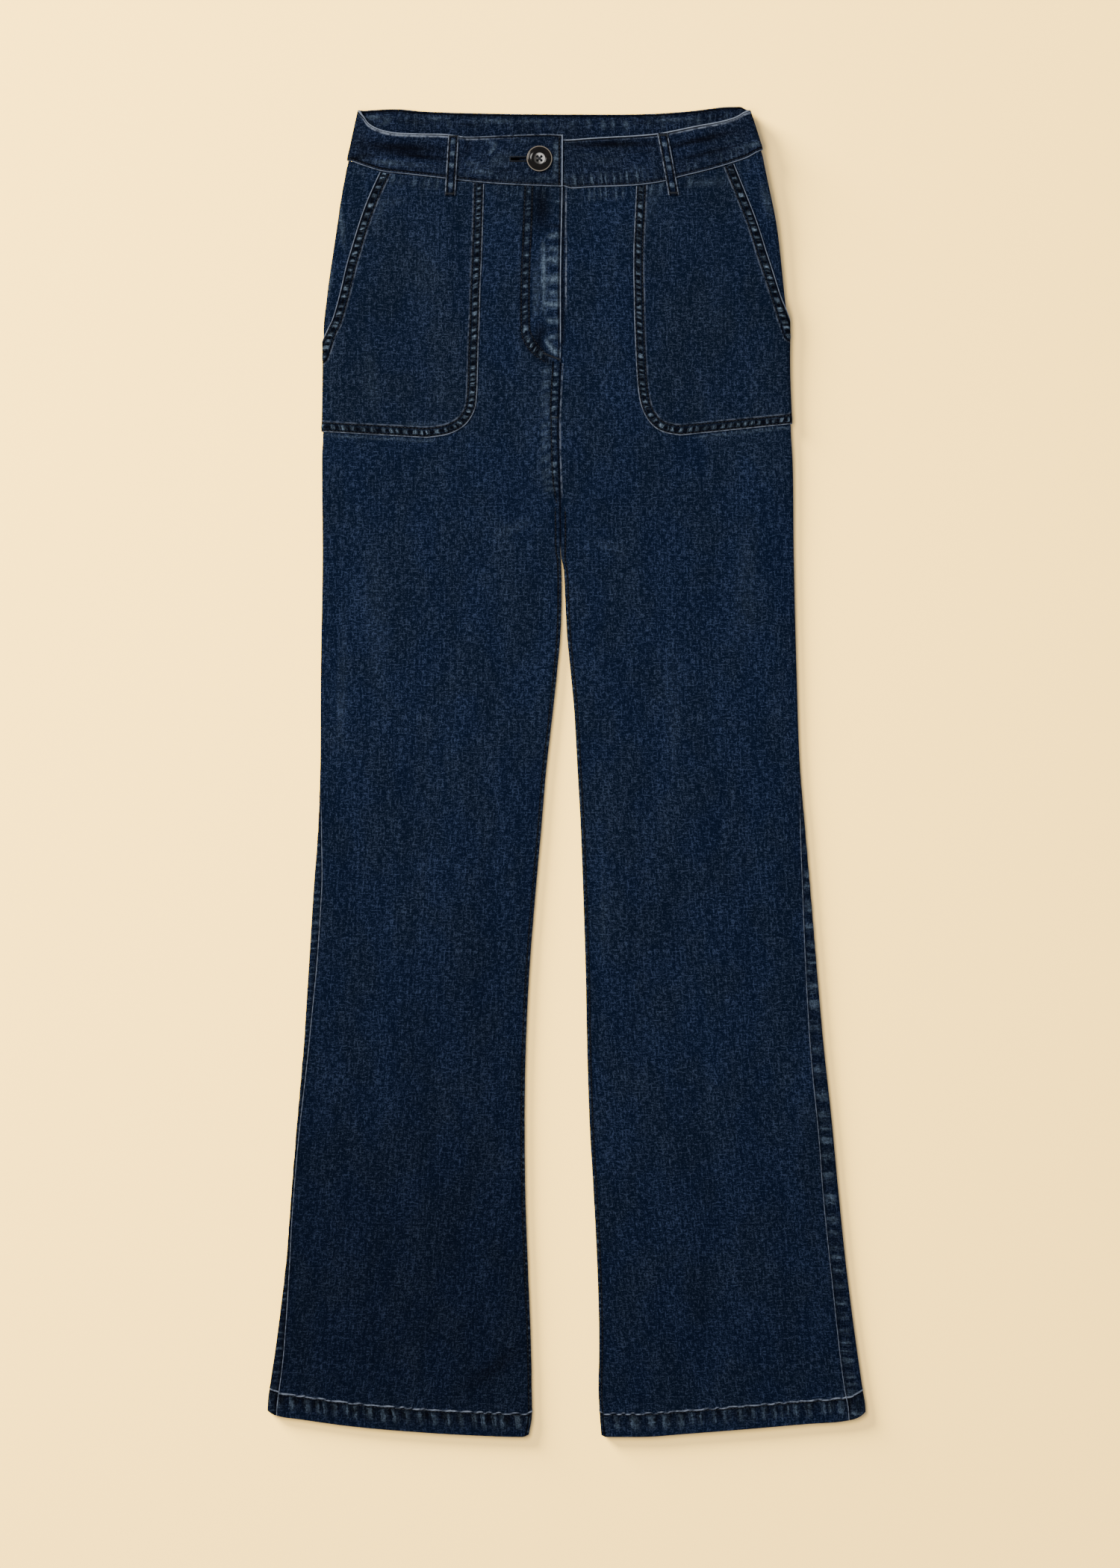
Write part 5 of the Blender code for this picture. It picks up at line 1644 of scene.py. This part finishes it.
# %% [markdown]
# ## Stitches
# Every row of stitches is a chain of small beads of thread, one each 3 mm, half sunk in the
# furrow that the material draws. Geometry Nodes makes them: a row is a plain line of points that
# also know which way is up, and the tree sets a bead on each step along it. The same tree makes
# the bar tacks, with beads laid close together across the row.

# %% The stitch tree
def stitch_tree():
    tree = bpy.data.node_groups.new("stitches", "GeometryNodeTree")
    inputs = {"Rows": "Geometry", "Pitch": "Float", "Length": "Float", "Radius": "Float",
              "Turn": "Float", "Seed": "Int", "Thread": "Material"}
    for name, kind in inputs.items():
        tree.interface.new_socket(name, in_out="INPUT", socket_type=f"NodeSocket{kind}")
    tree.interface.new_socket("Stitches", in_out="OUTPUT", socket_type="NodeSocketGeometry")

    def add(kind, settings=(), **links):
        node = tree.nodes.new(kind)
        for key, value in dict(settings).items():
            setattr(node, key, value)
        for key, value in links.items():
            socket = node.inputs[int(key[1:])] if key[0] == "_" else node.inputs[key]
            if isinstance(value, bpy.types.Node):
                value = value.outputs[0]
            if isinstance(value, bpy.types.NodeSocket):
                tree.links.new(value, socket)
            else:
                socket.default_value = value
        return node

    given = add("NodeGroupInput").outputs
    lines = add("GeometryNodeMeshToCurve", Mesh=given["Rows"])
    steps = add("GeometryNodeResampleCurve", {"mode": "LENGTH"}, Curve=lines, Length=given["Pitch"])
    along = add("GeometryNodeInputTangent")
    up = add("GeometryNodeInputNamedAttribute", {"data_type": "FLOAT_VECTOR"}, Name="up")
    level = add("FunctionNodeAlignRotationToVector", {"axis": "X"}, Vector=along)
    upright = add("FunctionNodeAlignRotationToVector", {"axis": "Z", "pivot_axis": "X"},
                  Rotation=level, Vector=up)
    sway = add("FunctionNodeRandomValue", {"data_type": "FLOAT"}, _2=-0.09, _3=0.09,
               Seed=given["Seed"])
    turn = add("ShaderNodeMath", {"operation": "ADD"}, _0=sway.outputs[1], _1=given["Turn"])
    yaw = add("FunctionNodeAxisAngleToRotation", Axis=(0, 0, 1), Angle=turn)
    turned = add("FunctionNodeRotateRotation", {"rotation_space": "LOCAL"}, Rotation=upright, _1=yaw)
    half = add("ShaderNodeMath", {"operation": "MULTIPLY"}, _0=given["Length"], _1=0.5)
    size = add("ShaderNodeCombineXYZ", X=half, Y=given["Radius"], Z=given["Radius"])
    ball = add("GeometryNodeMeshUVSphere", Segments=6, Rings=4, Radius=1.0)
    bead = add("GeometryNodeTransform", Geometry=ball, Scale=size)
    beads = add("GeometryNodeInstanceOnPoints", Points=steps, Instance=bead, Rotation=turned)
    real = add("GeometryNodeRealizeInstances", Geometry=beads)
    smooth = add("GeometryNodeSetShadeSmooth", Geometry=real)
    thread = add("GeometryNodeSetMaterial", Geometry=smooth, Material=given["Thread"])
    add("NodeGroupOutput", Stitches=thread)
    return tree


STITCHES = stitch_tree()
print("stitch tree nodes:", len(STITCHES.nodes))

# %% [markdown]
# A row is laid along the skin at the lift of the cloth that it is sewn to. The panels have rows
# in the hems, beside the inseams, on the fly and below it, and each pocket has two round its
# free edge.

# %% Rows of stitches
def thread_finish():
    finish = Finish("thread_navy")
    place = finish.place()
    shade = finish.noise(place, (300, 300, 300))
    colour = finish.mix(finish.ramp(shade, 0.35, 0.65), (0.0040, 0.0050, 0.0090),
                        (0.016, 0.022, 0.034))
    return finish.surface(base_color=colour, roughness=0.6)


THREAD = thread_finish()
BEAD_LIFT = 0.12 * MM
HEM_SHARES = np.linspace(0.03, 0.985, 160)
INSEAM_LEVELS = np.linspace(0.222, -0.536, 300)
J_SHOWN = (0.3, 0.494)
ROW_STITCH = {"Pitch": 3.0 * MM, "Length": 2.6 * MM, "Radius": 0.26 * MM, "Turn": 0.0}
TACK_STITCH = {"Pitch": 0.6 * MM, "Length": 2.2 * MM, "Radius": 0.25 * MM, "Turn": math.radians(75)}


class Rows:
    """Lines of points with their up vectors, to be sewn as one piece of thread."""

    def __init__(self):
        self.points, self.ups, self.edges = [], [], []

    def add(self, skin, girth, lift):
        here, above = skin.points(girth, lift + BEAD_LIFT), skin.points(girth, lift + MM)
        here, above = here.reshape(-1, 3), above.reshape(-1, 3)
        first = len(self.points)
        self.points += here.tolist()
        self.ups += (above - here).tolist()
        self.edges += [(k, k + 1) for k in range(first, first + len(here) - 1)]
        return self

    def plan(self, side, route, lift=0.0):
        """Row along a path in plan on the front, at a lift or at one worked out for each point."""
        skin = Skin(side, route[:, 1])
        lift = lift(route[:, 0], route[:, 1]) if callable(lift) else lift
        return self.add(skin, skin.girth(side * (skin.edge - route[:, 0])), lift)


def sew(name, rows, seed, stitch):
    mesh = new_mesh(name, rows.points, [], rows.edges)
    up = mesh.attributes.new("up", "FLOAT_VECTOR", "POINT")
    up.data.foreach_set("vector", np.array(rows.ups, np.float32).ravel())
    piece = linked(name, mesh)
    nodes = piece.modifiers.new("stitches", "NODES")
    nodes.node_group = STITCHES
    values = {**stitch, "Seed": seed, "Thread": THREAD}
    for item in STITCHES.interface.items_tree:
        if item.in_out == "INPUT" and item.name in values:
            nodes[item.identifier] = values[item.name]
    return put_on(settle(piece), "denim_band")


def clipped(route, low, high):
    """The part of a path between two levels."""
    return route[(route[:, 1] > low) & (route[:, 1] < high)]


def fly_lift(x, y):
    return FLY_RAISE * fly_mask(x, y)


def hem_row(rows, side):
    skin = Skin(side, read(HEM[side], "level", HEM_SHARES, "share") + HEM_ROW_UP)
    girth = np.maximum(skin.girth(HEM_SHARES * skin.width), skin.seam() + 2 * MM)
    return rows.add(skin, girth, 0.0)


panel_threads = {}
for side in (RIGHT, LEFT):
    rows = hem_row(Rows(), side)
    inseam = Skin(side, INSEAM_LEVELS)
    rows.add(inseam, inseam.reach - INSEAM_ROW_IN, 0.0)
    if side == RIGHT:
        for route in (J_OUTER, J_INNER):
            rows.plan(side, clipped(route, *J_SHOWN), fly_lift)
        rows.plan(side, CENTRE_ROW)
    panel_threads[side] = sew(f"thread_panel_{SIDE_NAMES[side]}", rows, 7 + side, ROW_STITCH)

pocket_threads = {}
for side in (RIGHT, LEFT):
    rows = Rows()
    for route, way in ((OUTLINES[side][0], -side), (OUTLINES[side][1], side)):
        for distance in POCKET_ROWS_IN:
            row = shifted(route, way * distance)[1:-1]
            limit = Skin(side, row[:, 1])
            inset = side * (limit.edge - row[:, 0])
            keep = (inset > 0.3 * MM) & (row[:, 1] < read(FRONT_WAIST[side], "seam", inset, "inset") - MM)
            rows.plan(side, row[keep], POCKET_LIFT)
    pocket_threads[side] = sew(f"thread_pocket_{SIDE_NAMES[side]}", rows, 17 + side, ROW_STITCH)
show([*panel_threads.values(), *pocket_threads.values()])

# %% [markdown]
# The waistband has a row at its foot and one at its top. Close beads across the row make the rim
# of the buttonhole and the bar tacks. Two crossed strands hold the button.

# %% Rows of the waistband, and the bar tacks
BAND_ROW_UP, BAND_ROW_DOWN, BAND_ROW_POINTS = 1.7 * MM, 1.2 * MM, 260


def band_row(rows, side, up=None, down=None):
    """Row along a front band, at a distance up from its foot or down from its top."""
    middle = Skin(side, TOP_ROW)
    end = middle.reach - (3 * MM if side == RIGHT else 2 * MM)
    girth = np.linspace(float(middle.seam()) + 3 * MM, float(end), BAND_ROW_POINTS)
    inset = middle.place(girth)[0]
    level = (band_level(FRONT_WAIST[side], inset, 0.0) + up if up is not None
             else band_level(FRONT_WAIST[side], inset, 1.0) - down)
    skin = Skin(side, level)
    return rows.add(skin, skin.refit(girth, middle), band_lift(side, middle.width - inset))


def overlap_lift(x, y):
    skin = Skin(RIGHT, y)
    return band_lift(RIGHT, skin.width - (x - skin.edge))


def straight(x0, y0, x1, y1, count=12):
    return np.linspace((x0, y0), (x1, y1), count) * MM


# Straight rows in millimetres, as X and Y of both ends, and half the height of the slot's rim
OVERLAP_ROW = (-6.0, 534, -6.0, 495)
FLY_TACK, CENTRE_TACK = (-19.2, 353.0, -5.0, 347.5), (-13.0, 299.0, -7.5, 299.0)
RIM_HALF = 1.9
for side in (RIGHT, LEFT):
    rows = band_row(band_row(Rows(), side, up=BAND_ROW_UP), side, down=BAND_ROW_DOWN)
    if side == RIGHT:
        rows.plan(side, straight(*OVERLAP_ROW, count=24), overlap_lift)
    sew(f"thread_waistband_{SIDE_NAMES[side]}", rows, 27 + side, ROW_STITCH)

slot_left, slot_right = (SLOT_MIDDLE - SLOT_LENGTH / 2) / MM, (SLOT_MIDDLE + SLOT_LENGTH / 2) / MM
slot_low, slot_high = BUTTON_LEVEL / MM - RIM_HALF, BUTTON_LEVEL / MM + RIM_HALF
rim = Rows()
for x0, y0, x1, y1 in ((slot_left, slot_low, slot_right, slot_low),
                       (slot_right, slot_high, slot_left, slot_high),
                       (slot_left - 0.8, slot_high, slot_left - 0.8, slot_low)):
    rim.plan(RIGHT, straight(x0, y0, x1, y1), overlap_lift)
rim_thread = sew("thread_buttonhole", rim, 41, {**TACK_STITCH, "Length": 1.5 * MM,
                                              "Turn": math.radians(90)})

tacks = Rows()
tacks.plan(RIGHT, straight(*FLY_TACK), fly_lift)
tacks.plan(RIGHT, straight(*CENTRE_TACK), 0.0)
fly_tack = sew("thread_fly_tacks", tacks, 43, TACK_STITCH)


def loop_rows(side):
    """Two rows down a front belt loop, and a bar tack across each end."""
    top, foot = (level * MM for level in FRONT_LOOPS[side][3])
    rows, ends = Rows(), Rows()
    for offset in LOOP_ROWS:
        rows.add(*on_loop(side, offset, np.linspace(foot + MM, top - MM, 30))[:3])
    for level in (foot, top):
        ends.add(*on_loop(side, LOOP_TACK, level)[:3])
    name = f"thread_belt_loop_{SIDE_NAMES[side]}"
    return (sew(name, rows, 51 + side, ROW_STITCH), sew(f"{name}_tacks", ends, 55 + side, TACK_STITCH))


loop_threads = {side: loop_rows(side) for side in (RIGHT, LEFT)}


def button_thread():
    """Two crossed strands that hold the button, over its dished face."""
    strands = []
    for first, second in ((0, 2), (1, 3)):
        (x0, y0), (x1, y1) = HOLES[first], HOLES[second]
        top = BUTTON_BASE + 2.4 * MM
        rise = np.sin(np.linspace(0, math.pi, 9))
        strands.append([(x0 + (x1 - x0) * t, y0 + (y1 - y0) * t, top - 0.5 * MM + 0.8 * MM * r
                         + 0.25 * MM * first) for t, r in zip(np.linspace(0, 1, 9), rise)])
    points, faces, sides = [], [], 8
    half_width, half_height = 0.75, 0.42      # of a strand, in millimetres
    for strand in strands:
        start = len(points)
        way = (Vector(strand[-1]) - Vector(strand[0])).normalized()
        across = way.cross(Vector((0, 0, 1)))
        for place in strand:
            for k in range(sides):
                turn = k * 2 * math.pi / sides
                offset = (across * math.cos(turn) * half_width
                          + Vector((0, 0, 1)) * math.sin(turn) * half_height)
                points.append(Vector(place) + offset * MM)
        count = len(strand)
        for r in range(count - 1):
            for k in range(sides):
                n = (k + 1) % sides
                faces.append((start + r * sides + k, start + r * sides + n,
                              start + (r + 1) * sides + n, start + (r + 1) * sides + k))
        faces.append(tuple(start + k for k in range(sides))[::-1])
        faces.append(tuple(start + (count - 1) * sides + k for k in range(sides)))
    mesh = new_mesh("thread_button", points, faces)
    mesh.shade_smooth()
    return put_on(new_piece("thread_button", mesh, THREAD), "denim_band")


button_thread()
